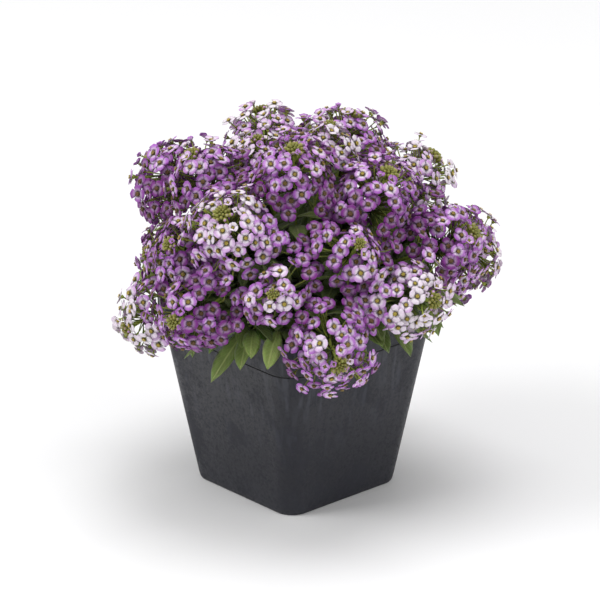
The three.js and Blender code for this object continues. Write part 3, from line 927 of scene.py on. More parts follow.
@made_once("moulded_pot_plastic")
def plastic_finish(finish, pot):
    """Scuffed plastic, dusty in smudges, at the foot and in streaks, with a dark line of painted shade in the
    band's groove.
    """
    smudge = finish.remap(finish.noise(55, 6, 0.62), 0.46, 0.78)
    film = finish.remap(finish.noise(700, 4, 0.7), 0.35, 0.8)
    height = finish.node("SeparateXYZ", finish.place()).outputs["Z"]
    foot = finish.times(finish.remap(height, 0.02, 0.0), finish.noise(180, 4))
    band = pot.height - pot.band_height
    ribs = finish.noise(420, 2, 0.4, (1, 1, 0.06))
    streaks = finish.times(
        finish.remap(ribs, 0.46, 0.66),
        finish.remap(height, 0.2 * band, band),
        finish.remap(finish.noise(60, 2), 0.4, 0.6, 0.14, 0.6),
    )
    dust = finish.plus(finish.times(smudge, film, 0.42), finish.times(foot, 0.3), streaks)
    # Painted shade: a dark line in the groove under the band, in a darker copy of the plastic.
    painted_groove_shade = finish.times(
        finish.remap(height, band - 0.0017, band - 0.0011), finish.remap(height, band + 0.0002, band)
    )
    dusty = finish.blend(dust, pot.plastic, pot.dust)
    finish.bump(finish.plus(ribs, finish.noise(2600, 2)), 0.00025, 0.5)
    finish.paint(
        Base_Color=finish.blend(painted_groove_shade, dusty, dimmed(pot.plastic, 0.3)),
        Roughness=finish.remap(finish.plus(film, smudge), 0, 1, 0.4, 0.68),
        Specular_IOR_Level=0.45,
    )


@made_once("damp_potting_mix")
def peat_finish(finish, pot):
    """Dark damp crumbs with lighter fibres."""
    lumps = finish.noise(420, 8, 0.7)
    strands = finish.remap(finish.noise(900, 3, 0.5, (1, 0.3, 1)), 0.6, 0.72)
    peat = finish.blend(lumps, dimmed(pot.peat, 0.25), pot.peat)
    finish.bump(lumps, 0.0012, 0.9)
    finish.paint(
        Base_Color=finish.blend(strands, peat, pot.fibre),
        Roughness=finish.remap(lumps, 0.3, 0.7, 0.95, 0.8),
        Specular_IOR_Level=0.25,
    )


@made_once("hairy_leaf_green")
def leaf_finish(finish, foliage):
    """A softly hairy blade with a pale rib, faint side veins that slant forward, and a pale edge. Its green
    darkens with age and with painted shade deep inside the canopy.
    """
    along, across, luck, fresh_and_lit = finish.tones()
    mottle = finish.noise(260, 5, 0.6)
    # Painted shade: the tone's fourth number pulls blades deep in the canopy towards the dark green.
    flesh = finish.blend(
        finish.plus(finish.times(fresh_and_lit, 0.65), finish.times(mottle, 0.42)), foliage.dark, foliage.fresh_and_lit
    )
    off_rib = finish.math("ABSOLUTE", finish.math("SUBTRACT", across, 0.5))
    rib = finish.remap(off_rib, 0.07, 0.015)
    edge = finish.remap(off_rib, 0.44, 0.5)
    forward, outward = finish.math("MULTIPLY", along, 2.6), finish.math("MULTIPLY", off_rib, 1.1)
    slant = finish.math("SUBTRACT", forward, outward)
    vein = finish.remap(finish.math("PINGPONG", slant, 0.12), 0.02, 0.003)
    pale = finish.plus(finish.times(rib, 0.7), finish.times(edge, 0.3), finish.times(vein, 0.22))
    colour = finish.blend(pale, flesh, foliage.rib)
    hairs = finish.noise(3200, 2, 0.5)
    finish.bump(finish.plus(rib, vein, finish.times(hairs, 0.4)), 0.00022, 0.7)
    finish.paint(
        Base_Color=finish.blend(finish.remap(luck, 0, 1, 0, 0.3), colour, dimmed(foliage.dark, 0.55)),
        Roughness=finish.remap(mottle, 0.3, 0.7, 0.48, 0.64),
        Specular_IOR_Level=0.35,
        Sheen_Weight=0.25,
        Sheen_Roughness=0.4,
        Subsurface_Weight=0.12,
        Subsurface_Scale=0.001,
        Subsurface_Radius=(0.4, 1.0, 0.2),
    )


@made_once("juicy_stem_green")
def stem_finish(finish, foliage, flowers):
    """Streaky green, flushed where its tone says so, and dark in the shade of the head or canopy."""
    along, shade, luck, _ = finish.tones()
    streaks = finish.noise(500, 3, 0.6)
    green = finish.blend(streaks, dimmed(foliage.stem, 0.62), foliage.stem)
    flushed = finish.blend(finish.times(finish.remap(shade, 0.35, 1.0), 0.5), green, flowers.eye_old)
    finish.bump(streaks, 0.0002, 0.5)
    finish.paint(
        Base_Color=finish.blend(finish.remap(along, 0.9, 0.3, 0, 0.8), flushed, dimmed(foliage.dark, 0.2)),
        Roughness=finish.remap(luck, 0, 1, 0.5, 0.62),
        Specular_IOR_Level=0.35,
        Subsurface_Weight=0.1,
        Subsurface_Scale=0.001,
    )


@made_once("lilac_petal")
def petal_finish(finish, flowers):
    """White to deep purple as the shade says, with fine veins and a pale halo round the eye."""
    from_eye, shade, luck, _ = finish.tones()
    ramp = finish.node("ValToRGB", shade)
    stops = [(0.0, flowers.white), (0.3, flowers.pale), (0.64, flowers.lilac), (1.0, flowers.deep)]
    ramp.color_ramp.elements[1].position = 1.0
    for position, _ in stops[1:-1]:
        ramp.color_ramp.elements.new(position)
    for element, (_, colour) in zip(ramp.color_ramp.elements, stops):
        element.color = (*colour, 1)
    limb = ramp.outputs["Color"]
    veins = finish.remap(finish.noise(1500, 3, 0.6), 0.45, 0.7, 0, 0.25)
    veined = finish.blend(veins, limb, finish.blend(0.5, limb, flowers.deep))
    halo = finish.times(finish.remap(from_eye, 0.8, 0.42), finish.remap(shade, 1.0, 0.25, 0.24, 0.94))
    finish.bump(finish.noise(2400, 3), 0.00015, 0.5)
    finish.paint(
        Base_Color=finish.blend(halo, veined, flowers.white),
        Roughness=finish.remap(luck, 0, 1, 0.5, 0.66),
        Specular_IOR_Level=0.3,
        Sheen_Weight=0.15,
        Sheen_Roughness=0.5,
        Subsurface_Weight=0.15,
        Subsurface_Scale=0.0008,
        Subsurface_Radius=(1.0, 0.6, 1.0),
    )


@made_once("floret_eye")
def eye_finish(finish, flowers):
    """A yellow-green middle that darkens with age, a dark rim that is partly the old eye's colour and partly
    painted shade of the throat, and anthers dusted with pollen.
    """
    from_middle, shade, luck, anther = finish.tones()
    middle = finish.blend(finish.remap(shade, 0.3, 0.85, 0, 0.85), flowers.eye_young, flowers.eye_old)
    # Painted shade: the button's outer rim is dark, for the shaded throat round the middle.
    rim = finish.blend(finish.noise(3000, 2), flowers.eye_old, dimmed(flowers.eye_young, 0.3))
    flesh = finish.blend(finish.remap(from_middle, 0.4, 0.8), middle, rim)
    pollen = finish.blend(finish.times(shade, 0.8), flowers.pollen, flowers.eye_old)
    finish.paint(
        Base_Color=finish.blend(anther, flesh, pollen),
        Roughness=finish.remap(luck, 0, 1, 0.5, 0.7),
        Specular_IOR_Level=0.4,
    )


@made_once("green_bud")
def bud_finish(finish, flowers):
    """Green buds, some with a tip that already shows the petals' colour."""
    along, shade, luck, _ = finish.tones()
    green = finish.blend(luck, dimmed(flowers.bud, 0.55), flowers.bud)
    opening = finish.times(finish.remap(along, 0.72, 0.98), finish.remap(luck, 0.35, 0.8))
    finish.paint(
        Base_Color=finish.blend(opening, green, finish.blend(shade, flowers.pale, flowers.lilac)),
        Roughness=finish.remap(finish.noise(2000, 2), 0.3, 0.7, 0.45, 0.65),
        Specular_IOR_Level=0.4,
        Subsurface_Weight=0.1,
        Subsurface_Scale=0.0008,
    )


@made_once("pale_floor")
def floor_finish(finish):
    """A plain pale sweep."""
    finish.paint(
        Base_Color=finish.blend(finish.noise(3, 2), (0.93, 0.93, 0.94), (0.96, 0.96, 0.96)),
        Roughness=0.7,
        Specular_IOR_Level=0.2,
    )


# ------------------------------------------------------------------ the pot and its soil


CORNER_STEPS = 10
DRAIN_SIDES = 24
SOIL_GAP = 0.1
SOIL_RINGS = 14
CRUMB_RADII = (0.5, 2.1)
LUMP_POINTS, LUMP_FACES = ball(7, 4)


def rounded_square(half, corner, z):
    """A level ring of points round a square with rounded corners."""
    quarter = np.linspace(0, math.pi / 2, CORNER_STEPS + 1)
    inset = half - corner
    side = stacked(inset + corner * np.cos(quarter), inset + corner * np.sin(quarter), float(z))
    return np.concatenate([spun(side, turn * math.pi / 2) for turn in range(4)])


def pot_profile(pot):
    """(half width, corner radius, height) of each ring, up the outside and down the inside."""
    top, wall = mm(pot.height), mm(pot.wall)
    band = top - mm(pot.band_height)
    base, base_corner = mm(pot.base_half), mm(pot.base_corner)
    neck, neck_corner = mm(pot.wall_top_half), mm(pot.wall_corner)
    low, rim, corner = mm(pot.band_low_half), mm(pot.rim_half), mm(pot.rim_corner)

    def wall_at(t):
        """A ring on the wall, a share t of the way from the foot to the band."""
        return mix(base, neck, t), mix(base_corner, neck_corner, t), mix(0, band, t)

    foot = [
        (base - 1.0, base_corner - 1.0, 0),
        (base - 0.35, base_corner - 0.35, 0.25),
        (base + 0.05, base_corner, 0.9),
    ]
    outer_wall = [wall_at(t) for t in (0.04, 0.08, 0.5, 0.9, 0.972, 0.98)]
    groove_and_band = [
        (neck - 0.45, neck_corner - 0.45, band - 1.2),
        (neck - 0.45, neck_corner - 0.45, band - 0.08),
        (neck, neck_corner, band),
        (low - 0.25, corner - 1.1, band + 0.02),
        (low, corner - 1, band + 0.25),
        (mix(low, rim, 0.5), corner - 0.5, mix(band, top, 0.5)),
    ]
    lip = [
        (rim - 0.28, corner, top - 2.1),
        (rim - 0.05, corner, top - 1.8),
        (rim, corner, top - 1.2),
        (rim, corner, top - 0.5),
        (rim - 0.15, corner - 0.15, top - 0.12),
        (rim - 0.45, corner - 0.45, top),
        (rim - wall + 0.3, corner - wall + 0.3, top),
        (rim - wall, corner - wall, top - 0.3),
    ]
    inside = [
        (mix(low, rim, 0.5) - wall, corner - 0.5 - wall, mix(band, top, 0.5)),
        (low - wall, corner - 1 - wall, band + 0.9),
        (neck - wall, neck_corner - wall, band - 0.1),
        (wall_at(0.5)[0] - wall, wall_at(0.5)[1] - wall, wall_at(0.5)[2]),
        (base - wall + 0.4, base_corner - wall, wall + 2),
        (base - wall - 0.8, base_corner - wall - 0.8, wall),
    ]
    return foot + outer_wall + groove_and_band + lip + inside


def cut_drains(piece, pot):
    """Cuts the four drain holes through the floor of the pot, each a little wider underneath."""
    far, radius = mm(pot.drain_offset), mm(pot.drain_radius)
    levels = ((-3, radius + 0.6), (-0.01, radius + 0.6), (0.5, radius), (3.5, radius))
    skin = Skin()
    for x, y in ((1, 1), (-1, 1), (-1, -1), (1, -1)):
        skin.add(*loft([ring(r, z, DRAIN_SIDES, (x * far, y * far), 0.5) for z, r in levels]))
    cutter = skin.build("drain_cutter")
    cut = piece.modifiers.new("drains", "BOOLEAN")
    cut.operation = "DIFFERENCE"
    cut.solver = "EXACT"
    cut.object = cutter
    bpy.context.view_layer.update()
    uncut = piece.data
    done = bpy.data.meshes.new_from_object(piece.evaluated_get(bpy.context.evaluated_depsgraph_get()))
    piece.modifiers.clear()
    piece.data = done
    bpy.data.meshes.remove(uncut)
    bpy.data.objects.remove(cutter)


def lumpy(points, strength, seed):
    """Points pushed in and out by a fixed amount each."""
    return points * np.array([[1 + strength * either_way(k, seed)] for k in range(len(points))])


def soil_height(x, y):
    """A fixed rise and fall of the soil's surface, from -1 to 1."""
    broad = math.sin(x * 0.21 + 1.3) * math.cos(y * 0.17 - 0.4)
    fine = math.sin(x * 0.83 + 2.1 * math.sin(y * 0.47)) * math.sin(y * 0.91 + 0.7)
    return 0.6 * broad + 0.4 * fine


def make_soil_skin(pot):
    """The soil, from the pot's floor to its bumpy surface, and the crumbs that lie on it."""
    gap = mm(pot.wall) + SOIL_GAP
    band = mm(pot.height) - mm(pot.band_height)
    level, bump = mm(pot.soil_top), 0.7 * mm(pot.soil_bump)
    low, corner = mm(pot.band_low_half), mm(pot.rim_corner)
    rings = [
        rounded_square(mm(pot.base_half) - gap - 0.4, mm(pot.base_corner) - gap, mm(pot.wall) + 0.35),
        rounded_square(mm(pot.wall_top_half) - gap - 0.2, mm(pot.wall_corner) - gap, band - 0.4),
        rounded_square(low - gap - 0.2, corner - 1 - gap, band + 1.9),
        rounded_square(low - gap, corner - 1 - gap, level - 1.2),
    ]
    for step in range(SOIL_RINGS):
        part = 0.985 * (1 - step / SOIL_RINGS)
        surface = rounded_square((low - gap) * part, (corner - gap) * part, level)
        for k, point in enumerate(surface):
            point[2] += bump * soil_height(point[0], point[1]) + 0.7 * either_way(k + 50 * step, 61)
        rings.append(surface)
    skin = Skin()
    skin.add(*loft(rings), (0.5, 0, 0.5, 0))
    for k in range(pot.crumbs):
        radius = mix(*CRUMB_RADII, chance(k, 62) ** 2)
        x, y = (2 * either_way(k, trait) * (low - 4) for trait in (63, 64))
        if math.hypot(x, y) <= low + 4:
            shape = lumpy(LUMP_POINTS, 0.7, 65 + k)
            shape = spun(shape * [1, mix(0.6, 1, chance(k, 66)), mix(0.5, 0.9, chance(k, 67))], k * 2.4)
            place = [x, y, level + bump * soil_height(x, y) + 0.25 * radius]
            skin.add(shape * radius + place, LUMP_FACES, (0.5, 0, chance(k, 68), 0))
    return skin


# ------------------------------------------------------------------ stems, leaves and buds


LEAF_GRID = (15, 7)
SMALL_GRID = (9, 5)
BUDS = 22
LEAF_FINISH, STEM_FINISH, BUD_FINISH = 0, 1, 2


def leaf_outline(t, fullness):
    """A blade's half width at each share of its length, where its widest is 1. Fuller blades widen later."""
    body = np.sin(math.pi * np.clip(t, 0, 1) ** fullness) ** 0.78
    stalk = 0.13 * (1 - smooth(t / 0.25))
    return np.maximum(body, stalk) + 0.02


def add_leaf(skin, leaf, thickness, number):
    """A curved blade with a sunk rib, raised edges that ripple a little, and its own tone."""
    rows, columns = SMALL_GRID if leaf.young else LEAF_GRID
    across = np.linspace(-1, 1, columns)
    t = np.linspace(0.0, 1.0, rows)[:, None]
    middle = leaf.point(t)
    forward = headings(middle)
    level = units(np.cross(UP, forward))
    roll = 0.9 * either_way(number, 45) * (t + 0.3)
    side = np.cos(roll) * level + np.sin(roll) * np.cross(forward, level)
    top = np.cross(forward, side)
    middle = middle + level * (0.3 * either_way(number, 46) * leaf.size * t**2)
    half = leaf.half_width * leaf_outline(t, 1.3 if leaf.young else 1.05)
    lift = 0.28 * half * np.abs(across) ** 1.3
    wave = np.sin(9 * t + any_angle(number, 18) + 2 * np.sign(across))
    ripple = 0.1 * half * np.abs(across) ** 2 * wave
    sunk = -0.22 * np.exp(-((across / 0.16) ** 2)) * smooth(half / 2)
    height = lift + ripple + sunk
    grid = middle[:, None] + side[:, None] * (half * across)[..., None] + top[:, None] * height[..., None]
    # The fourth tone is the blade's freshness, lowered by painted shade deep in the canopy.
    tones = stacked(t, (across + 1) / 2, chance(number, 19), leaf.freshness_and_shade)
    skin.add(blade(grid, top[:, None] * thickness), blade_faces(rows, columns), blade(tones, 0), LEAF_FINISH)


BUD_POINTS, BUD_FACES = ball(7, 4)


def add_buds(skin, head):
    """Unopened buds crowd round the stalk's tip, the outer ones larger and closer to opening."""
    turn = frame_of(head.axis)
    size = head.radius / 16
    knob = BUD_POINTS * [1.5 * size, 1.5 * size, 1.7 * size]
    skin.add(knob @ turn.T + head.tip + head.axis * 0.8, BUD_FACES, (0.2, 0.3, 0.2, 0), BUD_FINISH)
    for k in range(BUDS):
        item = head.index * 50 + k
        age = k / BUDS
        outward = turn @ pointing(math.acos(1 - (k + 0.5) / BUDS * 1.05), k * GOLDEN_ANGLE)
        facing = frame_of(unit(outward + head.axis * 0.5))
        width = size * mix(0.5, 0.95, age) * mix(0.9, 1.1, chance(item, 20))
        place = head.tip + outward * size * mix(1.8, 3.2, age) + head.axis * 1.8
        points = (BUD_POINTS * [width, width, width * mix(1.5, 1.9, age)]) @ facing.T + place
        luck = age * mix(0.6, 1.0, chance(item, 21))
        tones = stacked((BUD_POINTS[:, 2] + 1) / 2, head_shade(head), luck, 0)
        skin.add(points, BUD_FACES, tones, BUD_FINISH)


def make_stem_skin(plant, stem):
    """The stem, its branches and shoot, its twigs and leaves, and the buds at its tips."""
    stalk = mm(plant.canopy.stalk_radius)
    skin = Skin()

    def add_tube(path, radii, sides, flush, luck=0.5):
        """A stem along a path, flushed towards its foot."""
        points, faces, shares = tube(path, radii, sides)
        skin.add(points, faces, stacked(shares, flush * (1 - shares), luck, 0), STEM_FINISH)

    for n, path in enumerate(stem.curves):
        thick = plant.branch_radius if n else plant.stem_radius
        shares = np.linspace(0, 1, len(path))
        radii = mix(thick, stalk, np.minimum(shares * 1.1, 1)) * 0.92
        add_tube(path, radii, 9, 0.7, chance(stem.index, 22 + n))
    if stem.shoot is not None:
        add_tube(stem.shoot_curve, stalk * 0.9, 8, 0.3)
    for twig in stem.twigs:
        add_tube(twig, mix(0.75, 0.45, np.linspace(0, 1, len(twig))), 7, 0.2)
    for number, leaf in enumerate(plant.leaves):
        if leaf.stem == stem.index:
            add_leaf(skin, leaf, mm(plant.foliage.thickness), number)
    for head in stem.heads:
        add_buds(skin, head)
    return skin


# ------------------------------------------------------------------ florets and flower heads


PETAL_FINISH, EYE_FINISH, PEDICEL_FINISH = 0, 1, 2
PETAL_REACH = np.array([0.22, 0.48, 0.72, 0.91, 1.0])
PETAL_SPREAD = np.array([0.25, 0.47, 0.57, 0.43, 0.14])
PETAL_COLUMNS = 5
PETAL_THICKNESS = 0.16
PETALS, ANTHERS = 4, 6
PETAL_FACES = blade_faces(len(PETAL_REACH), PETAL_COLUMNS)
BUTTON_POINTS, BUTTON_FACES = ball(8, 2)
ANTHER_POINTS, ANTHER_FACES = ball(4, 1)
DOME_TOP, DOME_FOOT = math.cos(math.radians(15)), math.cos(math.radians(117))
CLOSE_PATTERN = 0.87
BARE_FROM, BARE_CHANCE = 0.25, 0.05
PEDICEL_RADIUS = 0.28
LOOK_AHEAD, MOST_BEYOND = 2.0, 5
DEPTHS = (3.6, -1.7)
TILT = 0.95
UPLIFT = 0.14
HEAD_SHADES = (0.1, 0.94)
SPREAD_ROUNDS, SPREAD_PUSH = 6, 0.4


def petal_template(radius):
    """One petal of the floret, lying along X with the floret's middle at the origin."""
    reach = PETAL_REACH[:, None]
    across = np.linspace(-1, 1, PETAL_COLUMNS)
    x = radius * (reach - 0.07 * across**2 * smooth((reach - 0.5) * 2))
    y = radius * PETAL_SPREAD[:, None] * across
    z = radius * (0.05 - 0.2 * (1 - smooth(reach * 2)) - 0.05 * across**2 - 0.16 * (reach - 0.45) ** 2)
    tones = stacked(np.hypot(x, y) / radius, 0, 0, 0)
    return blade(stacked(x, y, z), PETAL_THICKNESS * UP), blade(tones, 0)


def calyx_shell(radius):
    """The small green cup under the petals."""
    return loft([ring(r * radius, z * radius, 6) for r, z in ((0.07, -0.5), (0.2, -0.36), (0.27, -0.12))])


class FloretKit:
    """The floret's shapes at life size, made once."""

    def __init__(self, flowers):
        self.radius = mm(flowers.radius)
        self.petal = petal_template(self.radius)
        self.cup = calyx_shell(self.radius)

    def add(self, skin, floret):
        """Adds a floret. Its petals are a little unequal and close up towards a bud."""
        item, shade, size = floret.item, floret.shade, self.radius
        turn = frame_of(floret.facing)
        spin = any_angle(item, 11)
        flare = 0.4 * (chance(item, 39) - 0.45)

        def put(points, faces, tones, finish):
            """Adds a part of the floret, given as it lies in the floret's own frame."""
            skin.add((points * floret.scale) @ turn.T + floret.centre, faces, tones, finish)

        petal, tones = self.petal
        for k in range(PETALS):
            luck, other = chance(item * 4 + k, 24), chance(item * 4 + k, 25)
            shape = petal * [mix(0.94, 1.05, luck), mix(0.92, 1.06, other), 1]
            shape[:, 2] += (0.1 + 0.12 * (other - 0.5)) * shape[:, 1] + 0.03 * k
            rise = mix(1.15, -0.08, floret.openness) + 0.26 * (luck - 0.5) + flare
            own = stacked(tones[:, 0], np.clip(shade + 0.12 * (luck - 0.5), 0, 1), luck, 0)
            put(spun(lifted(shape, rise), spin + k * math.pi / 2), PETAL_FACES, own, PETAL_FINISH)
        cup_points, cup_faces = self.cup
        put(spun(cup_points, spin), cup_faces, (0.8, 0.4 + 0.6 * shade, 0.5, 0), PEDICEL_FINISH)
        button = BUTTON_POINTS * [0.31 * size, 0.31 * size, 0.1 * size] + [0, 0, 0.05 * size]
        from_middle = np.hypot(BUTTON_POINTS[:, 0], BUTTON_POINTS[:, 1])
        put(button, BUTTON_FACES, stacked(from_middle, shade, chance(item, 27), 0), EYE_FINISH)
        for k in range(ANTHERS):
            around = spin + (k + 0.25) * math.pi / 3
            stand = size * (0.17 * heading(around) + 0.15 * UP)
            points = ANTHER_POINTS * [0.2, 0.2, 0.42] + stand
            put(points, ANTHER_FACES, (0, shade, chance(item, 28 + k), 1), EYE_FINISH)


def head_shade(head):
    """How purple a head is as a whole, from 0 to 1."""
    return mix(*HEAD_SHADES, float(smooth(chance(head.index, 12))))


def add_pedicel(skin, head, floret, kit):
    """The floret's own thin stalk, which leaves the head's stalk lower down."""
    base = floret.centre - floret.facing * 0.48 * kit.radius * floret.scale
    height = (base - head.place) @ head.axis * 0.75 - 0.38 * head.radius
    height = min(max(height, -0.42 * head.radius), 0.5 * head.radius)
    foot = head.place + head.axis * height
    pull = 0.4 * math.dist(foot, base)
    ends = (foot, foot + unit(floret.outward + 0.5 * head.axis) * pull, base - floret.facing * pull, base)
    points, faces, shares = tube(bezier(ends, 4), PEDICEL_RADIUS, 4)
    skin.add(points, faces, stacked(shares, (0.6 + 0.4 * floret.shade) * shares, 0.5, 0), PEDICEL_FINISH)


def room_beyond(plant, head, outward):
    """How far past its own radius a head may spread sideways, up to halfway to its neighbours."""
    edge = head.place + outward * (head.radius + LOOK_AHEAD)
    room = min(math.dist(edge, other.place) - other.radius for other in plant.heads if other is not head)
    room = min(room, plant.rim.gap(edge) - 1, plant.reach - math.dist(edge, plant.centre))
    sideways = 1 - (outward @ head.axis) ** 2
    return min(max((room + LOOK_AHEAD) / 2, 0), MOST_BEYOND) * sideways


def swell(head, azimuth, lean):
    """How far a head bulges or hollows round its sides, so that none is a plain ball."""
    wide = 2.0 * math.sin(2 * azimuth + any_angle(head.index, 41))
    narrow = 1.5 * math.sin(3 * azimuth + any_angle(head.index, 42))
    return (wide + narrow - 1.1) * math.sin(lean)


class Floret:
    """One floret: where it stands and faces, how purple and large it is, and how far open."""

    def __init__(self, head, item, centre, outward, facing, shade, scale, openness=1.0):
        self.head = head
        self.item = item
        self.centre = centre
        self.outward = outward
        self.facing = facing
        self.shade = float(np.clip(shade, 0, 1))
        self.scale = scale
        self.openness = openness


def place_florets(plant, head, kit, spacing):
    """A ragged dome of florets round the stalk, younger and paler towards the top, and the head's strays."""
    florets = []
    turn = frame_of(head.axis)
    out = math.sqrt(head.radius**2 - kit.radius**2)
    area = 2 * math.pi * (out + 1) ** 2 * (DOME_TOP - DOME_FOOT)
    places = int(area / (CLOSE_PATTERN * spacing**2))
    base_shade = head_shade(head)
    for k in range(places):
        item = head.index * 60 + k
        share = (k + 0.5) / places
        if BARE_FROM < share and chance(item, 38) < BARE_CHANCE:
            continue
        lean = math.acos(mix(DOME_TOP, DOME_FOOT, share)) + 0.3 * either_way(item, 32)
        azimuth = k * GOLDEN_ANGLE + 0.75 * either_way(item, 31)
        outward = turn @ pointing(lean, azimuth)
        beyond = room_beyond(plant, head, outward)
        openness = float(smooth(share * 7))
        depth = mix(*DEPTHS, chance(item, 33))
        reach = out + beyond + swell(head, azimuth, lean) - mix(1.4, 0, openness) - depth
        centre = head.place + outward * reach
        wander = turn @ np.array([either_way(item, 34), either_way(item, 35), 0.3])
        upward = unit(centre - plant.centre)
        facing = unit(outward + TILT * wander + UPLIFT * beyond * upward)
        shade = base_shade + 0.5 * (smooth(share * 1.1) - 0.42) + 0.5 * either_way(item, 36)
        # Florets sunk deeper into the head are darker purple: partly their age, partly painted shade of the
        # hollows.
        shade += 0.05 * (depth - 1)
        scale = mix(0.6, 1.0, openness) * mix(0.84, 1.08, chance(item, 37))
        florets.append(Floret(head, item, centre, outward, facing, shade, scale, openness))
    for item, centre, outward in head.strays:
        wander = np.array([either_way(item, 34), either_way(item, 35), 0.4])
        facing = unit(outward + 0.9 * wander)
        # Painted shade: strays sit in the gaps between heads and are made darker purple.
        shade = base_shade + 0.4 + 0.3 * either_way(item, 36)
        florets.append(Floret(head, item, centre, outward, facing, shade, mix(0.84, 1.04, chance(item, 37))))
    return florets


def spread(florets, room):
    """Florets that crowd each other move apart, so that each eye shows."""
    centres = np.array([floret.centre for floret in florets])
    rooms = np.array([floret.scale * room for floret in florets])
    wanted = rooms[:, None] + rooms
    np.fill_diagonal(wanted, 0)
    for _ in range(SPREAD_ROUNDS):
        apart = centres[:, None] - centres
        gaps = np.linalg.norm(apart, axis=2)
        push = SPREAD_PUSH * np.clip(wanted - gaps, 0, None) / np.maximum(gaps, 0.01)
        centres = centres + (apart * push[..., None]).sum(axis=1)
    for floret, centre in zip(florets, centres):
        floret.centre = centre


def make_head_skin(head, florets, kit):
    """The head's florets, each on its own stalk."""
    skin = Skin()
    for floret in florets:
        if floret.head is head:
            kit.add(skin, floret)
            add_pedicel(skin, head, floret, kit)
    return skin


# ------------------------------------------------------------------ operators


def belong(piece, slot, *nodes):
    """Ties a piece to the model: its body and the nodes that it stands for. The material slot is not used."""
    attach(piece, "root")
    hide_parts(*nodes)


def slot_of(node):
    """The record's material slot of a node."""
    for part in frame["record"]["subparts"]:
        if part["node"] == node:
            return part["material_slot"]
    raise RuntimeError(f"the record has no node {node}")


def set_up(scene, lamp_or_camera, place, direction):
    """Puts a lamp or camera in its place, looking along a direction."""
    holder = bpy.data.objects.new(lamp_or_camera.name, lamp_or_camera)
    holder.location = place
    holder.rotation_mode = "QUATERNION"
    holder.rotation_quaternion = Vector(direction).to_track_quat("-Z", "Y")
    scene.collection.objects.link(holder)
    return holder


SKY_STRENGTH = 0.46
LIT_SPOT = (0, 0, 0.08)
# Each lamp's name, place and width in metres, and its power in watts.
LAMPS = [
    ("key_light", (-0.6, -1.4, 1.5), 0.9, 16),
    ("fill_light", (1.6, 0.2, 0.9), 1.2, 6.5),
    ("top_light", (0.0, 0.2, 1.9), 1.1, 17),
]


class ALYSSUM_OT_pot(bpy.types.Operator):
    """Mould the square pot with its rim band and drain holes"""

    bl_idname = "alyssum.pot"
    bl_label = "Pot"

    def execute(self, context):
        pot = context.scene.alyssum_pot
        skin = Skin()
        skin.add(*loft([rounded_square(*sizes) for sizes in pot_profile(pot)]))
        piece = skin.build("nursery_pot", plastic_finish(pot))
        cut_drains(piece, pot)
        piece.data.polygons.foreach_set("use_smooth", np.ones(len(piece.data.polygons), bool))
        piece.data.set_sharp_from_angle(angle=math.radians(38))
        belong(piece, slot_of("pot"), "pot")
        return {"FINISHED"}


class ALYSSUM_OT_soil(bpy.types.Operator):
    """Fill the pot with crumbly potting mix"""

    bl_idname = "alyssum.soil"
    bl_label = "Soil"

    def execute(self, context):
        pot = context.scene.alyssum_pot
        piece = make_soil_skin(pot).build("crumbly_soil", peat_finish(pot))
        belong(piece, slot_of("potting_soil"), "potting_soil")
        return {"FINISHED"}


class ALYSSUM_OT_stems(bpy.types.Operator):
    """Grow the leafy stems with their shoots, leaves and bud tufts"""

    bl_idname = "alyssum.stems"
    bl_label = "Leafy Stems"

    def execute(self, context):
        scene = context.scene
        foliage, flowers = scene.alyssum_leaves, scene.alyssum_florets
        finishes = [leaf_finish(foliage), stem_finish(foliage, flowers), bud_finish(flowers)]
        plant = Plant(scene)
        for stem in plant.stems:
            node = f"leafy_stem_{stem.index + 1}"
            piece = make_stem_skin(plant, stem).build(f"stem_and_leaves_{stem.index + 1}", *finishes)
            belong(piece, slot_of(node), node)
        return {"FINISHED"}


class ALYSSUM_OT_heads(bpy.types.Operator):
    """Open the flower heads, each a dome of four-petalled florets"""

    bl_idname = "alyssum.heads"
    bl_label = "Flower Heads"

    def execute(self, context):
        scene = context.scene
        foliage, flowers = scene.alyssum_leaves, scene.alyssum_florets
        finishes = [petal_finish(flowers), eye_finish(flowers), stem_finish(foliage, flowers)]
        plant = Plant(scene)
        kit = FloretKit(flowers)
        florets = []
        for head in plant.heads:
            florets += place_florets(plant, head, kit, mm(flowers.spacing))
        spread(florets, 0.7 * kit.radius)
        for head in plant.heads:
            number = f"{head.index + 1:02d}"
            node = f"flower_head_{number}"
            piece = make_head_skin(head, florets, kit).build(f"floret_dome_{number}", *finishes)
            belong(piece, slot_of(node), node)
        return {"FINISHED"}


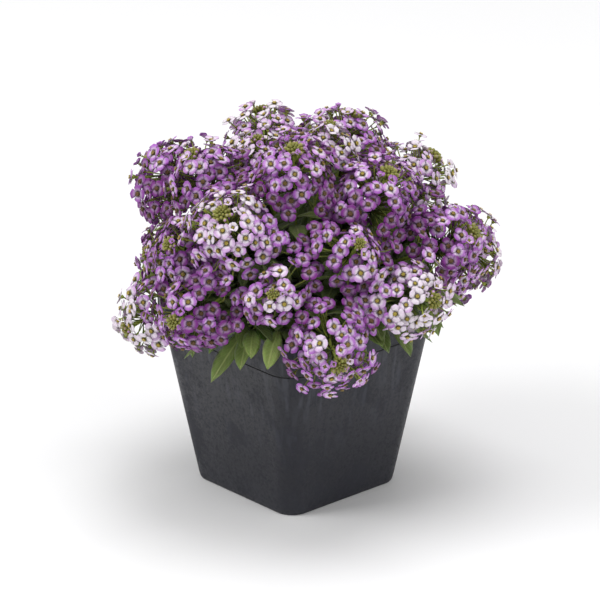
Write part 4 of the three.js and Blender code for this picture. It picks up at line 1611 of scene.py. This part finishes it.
class ALYSSUM_OT_stage(bpy.types.Operator):
    """Lay the pale floor and set the soft lights and the camera"""

    bl_idname = "alyssum.stage"
    bl_label = "Stage"

    def execute(self, context):
        scene = context.scene
        self.lay_floor(scene)
        self.light(scene)
        self.aim_camera(scene)
        return {"FINISHED"}

    def lay_floor(self, scene):
        """A wide plain floor."""
        half = scene.alyssum_stage.floor_half
        mesh = bpy.data.meshes.new("pale_floor")
        corners = [(-half, -half, 0), (half, -half, 0), (half, half, 0), (-half, half, 0)]
        mesh.from_pydata(corners, [], [(0, 1, 2, 3)])
        mesh.materials.append(floor_finish())
        floor = bpy.data.objects.new("pale_floor", mesh)
        scene.collection.objects.link(floor)

    def light(self, scene):
        """A white sky and three soft lamps."""
        world = bpy.data.worlds.new("studio")
        world.use_nodes = True
        backdrop = world.node_tree.nodes["Background"]
        backdrop.inputs["Color"].default_value = (1, 1, 1, 1)
        backdrop.inputs["Strength"].default_value = SKY_STRENGTH
        scene.world = world
        scene.view_settings.view_transform = "Standard"
        for name, place, size, power in LAMPS:
            lamp = bpy.data.lights.new(name, "AREA")
            lamp.size = size
            lamp.energy = power
            set_up(scene, lamp, place, np.array(LIT_SPOT) - np.array(place))

    def aim_camera(self, scene):
        """A distant camera, which looks at the middle of the model."""
        stage = scene.alyssum_stage
        level = math.cos(stage.elevation)
        x, y = level * math.sin(stage.azimuth), -level * math.cos(stage.azimuth)
        back = np.array([x, y, math.sin(stage.elevation)])
        camera = bpy.data.cameras.new("camera")
        camera.lens = camera.sensor_width * stage.distance / stage.view_width
        camera.clip_end = 50
        middle = (np.array(CAD_LOW) + np.array(CAD_HIGH)) / 2
        scene.camera = set_up(scene, camera, middle + back * stage.distance, -back)


class ALYSSUM_PT_panel(bpy.types.Panel):
    """Sizes, colours and steps of the potted plant"""

    bl_label = "Potted Sweet Alyssum"
    bl_idname = "ALYSSUM_PT_panel"
    bl_space_type = "VIEW_3D"
    bl_region_type = "UI"
    bl_category = "Alyssum"

    def draw(self, context):
        for name, group, operators in PANEL_PARTS:
            box = self.layout.box()
            box.label(text=name)
            settings = getattr(context.scene, group)
            for field in settings.__annotations__:
                box.prop(settings, field)
            for operator in operators:
                box.operator(operator)


PANEL_PARTS = [
    ("Pot", "alyssum_pot", ["alyssum.pot", "alyssum.soil"]),
    ("Canopy", "alyssum_canopy", []),
    ("Leaves", "alyssum_leaves", ["alyssum.stems"]),
    ("Florets", "alyssum_florets", ["alyssum.heads"]),
    ("Stage", "alyssum_stage", ["alyssum.stage"]),
]

GROUPS = {
    "alyssum_pot": PotSettings,
    "alyssum_canopy": CanopySettings,
    "alyssum_leaves": LeafSettings,
    "alyssum_florets": FloretSettings,
    "alyssum_stage": StageSettings,
}

CLASSES = [
    *GROUPS.values(),
    ALYSSUM_OT_pot,
    ALYSSUM_OT_soil,
    ALYSSUM_OT_stems,
    ALYSSUM_OT_heads,
    ALYSSUM_OT_stage,
    ALYSSUM_PT_panel,
]


def register():
    for cls in CLASSES:
        bpy.utils.register_class(cls)
    for name, group in GROUPS.items():
        setattr(bpy.types.Scene, name, bpy.props.PointerProperty(type=group))


def unregister():
    for name in GROUPS:
        delattr(bpy.types.Scene, name)
    for cls in reversed(CLASSES):
        bpy.utils.unregister_class(cls)


def main():
    register()
    bpy.ops.alyssum.stage()
    bpy.ops.alyssum.pot()
    bpy.ops.alyssum.soil()
    bpy.ops.alyssum.stems()
    bpy.ops.alyssum.heads()


if __name__ == "__main__":
    main()
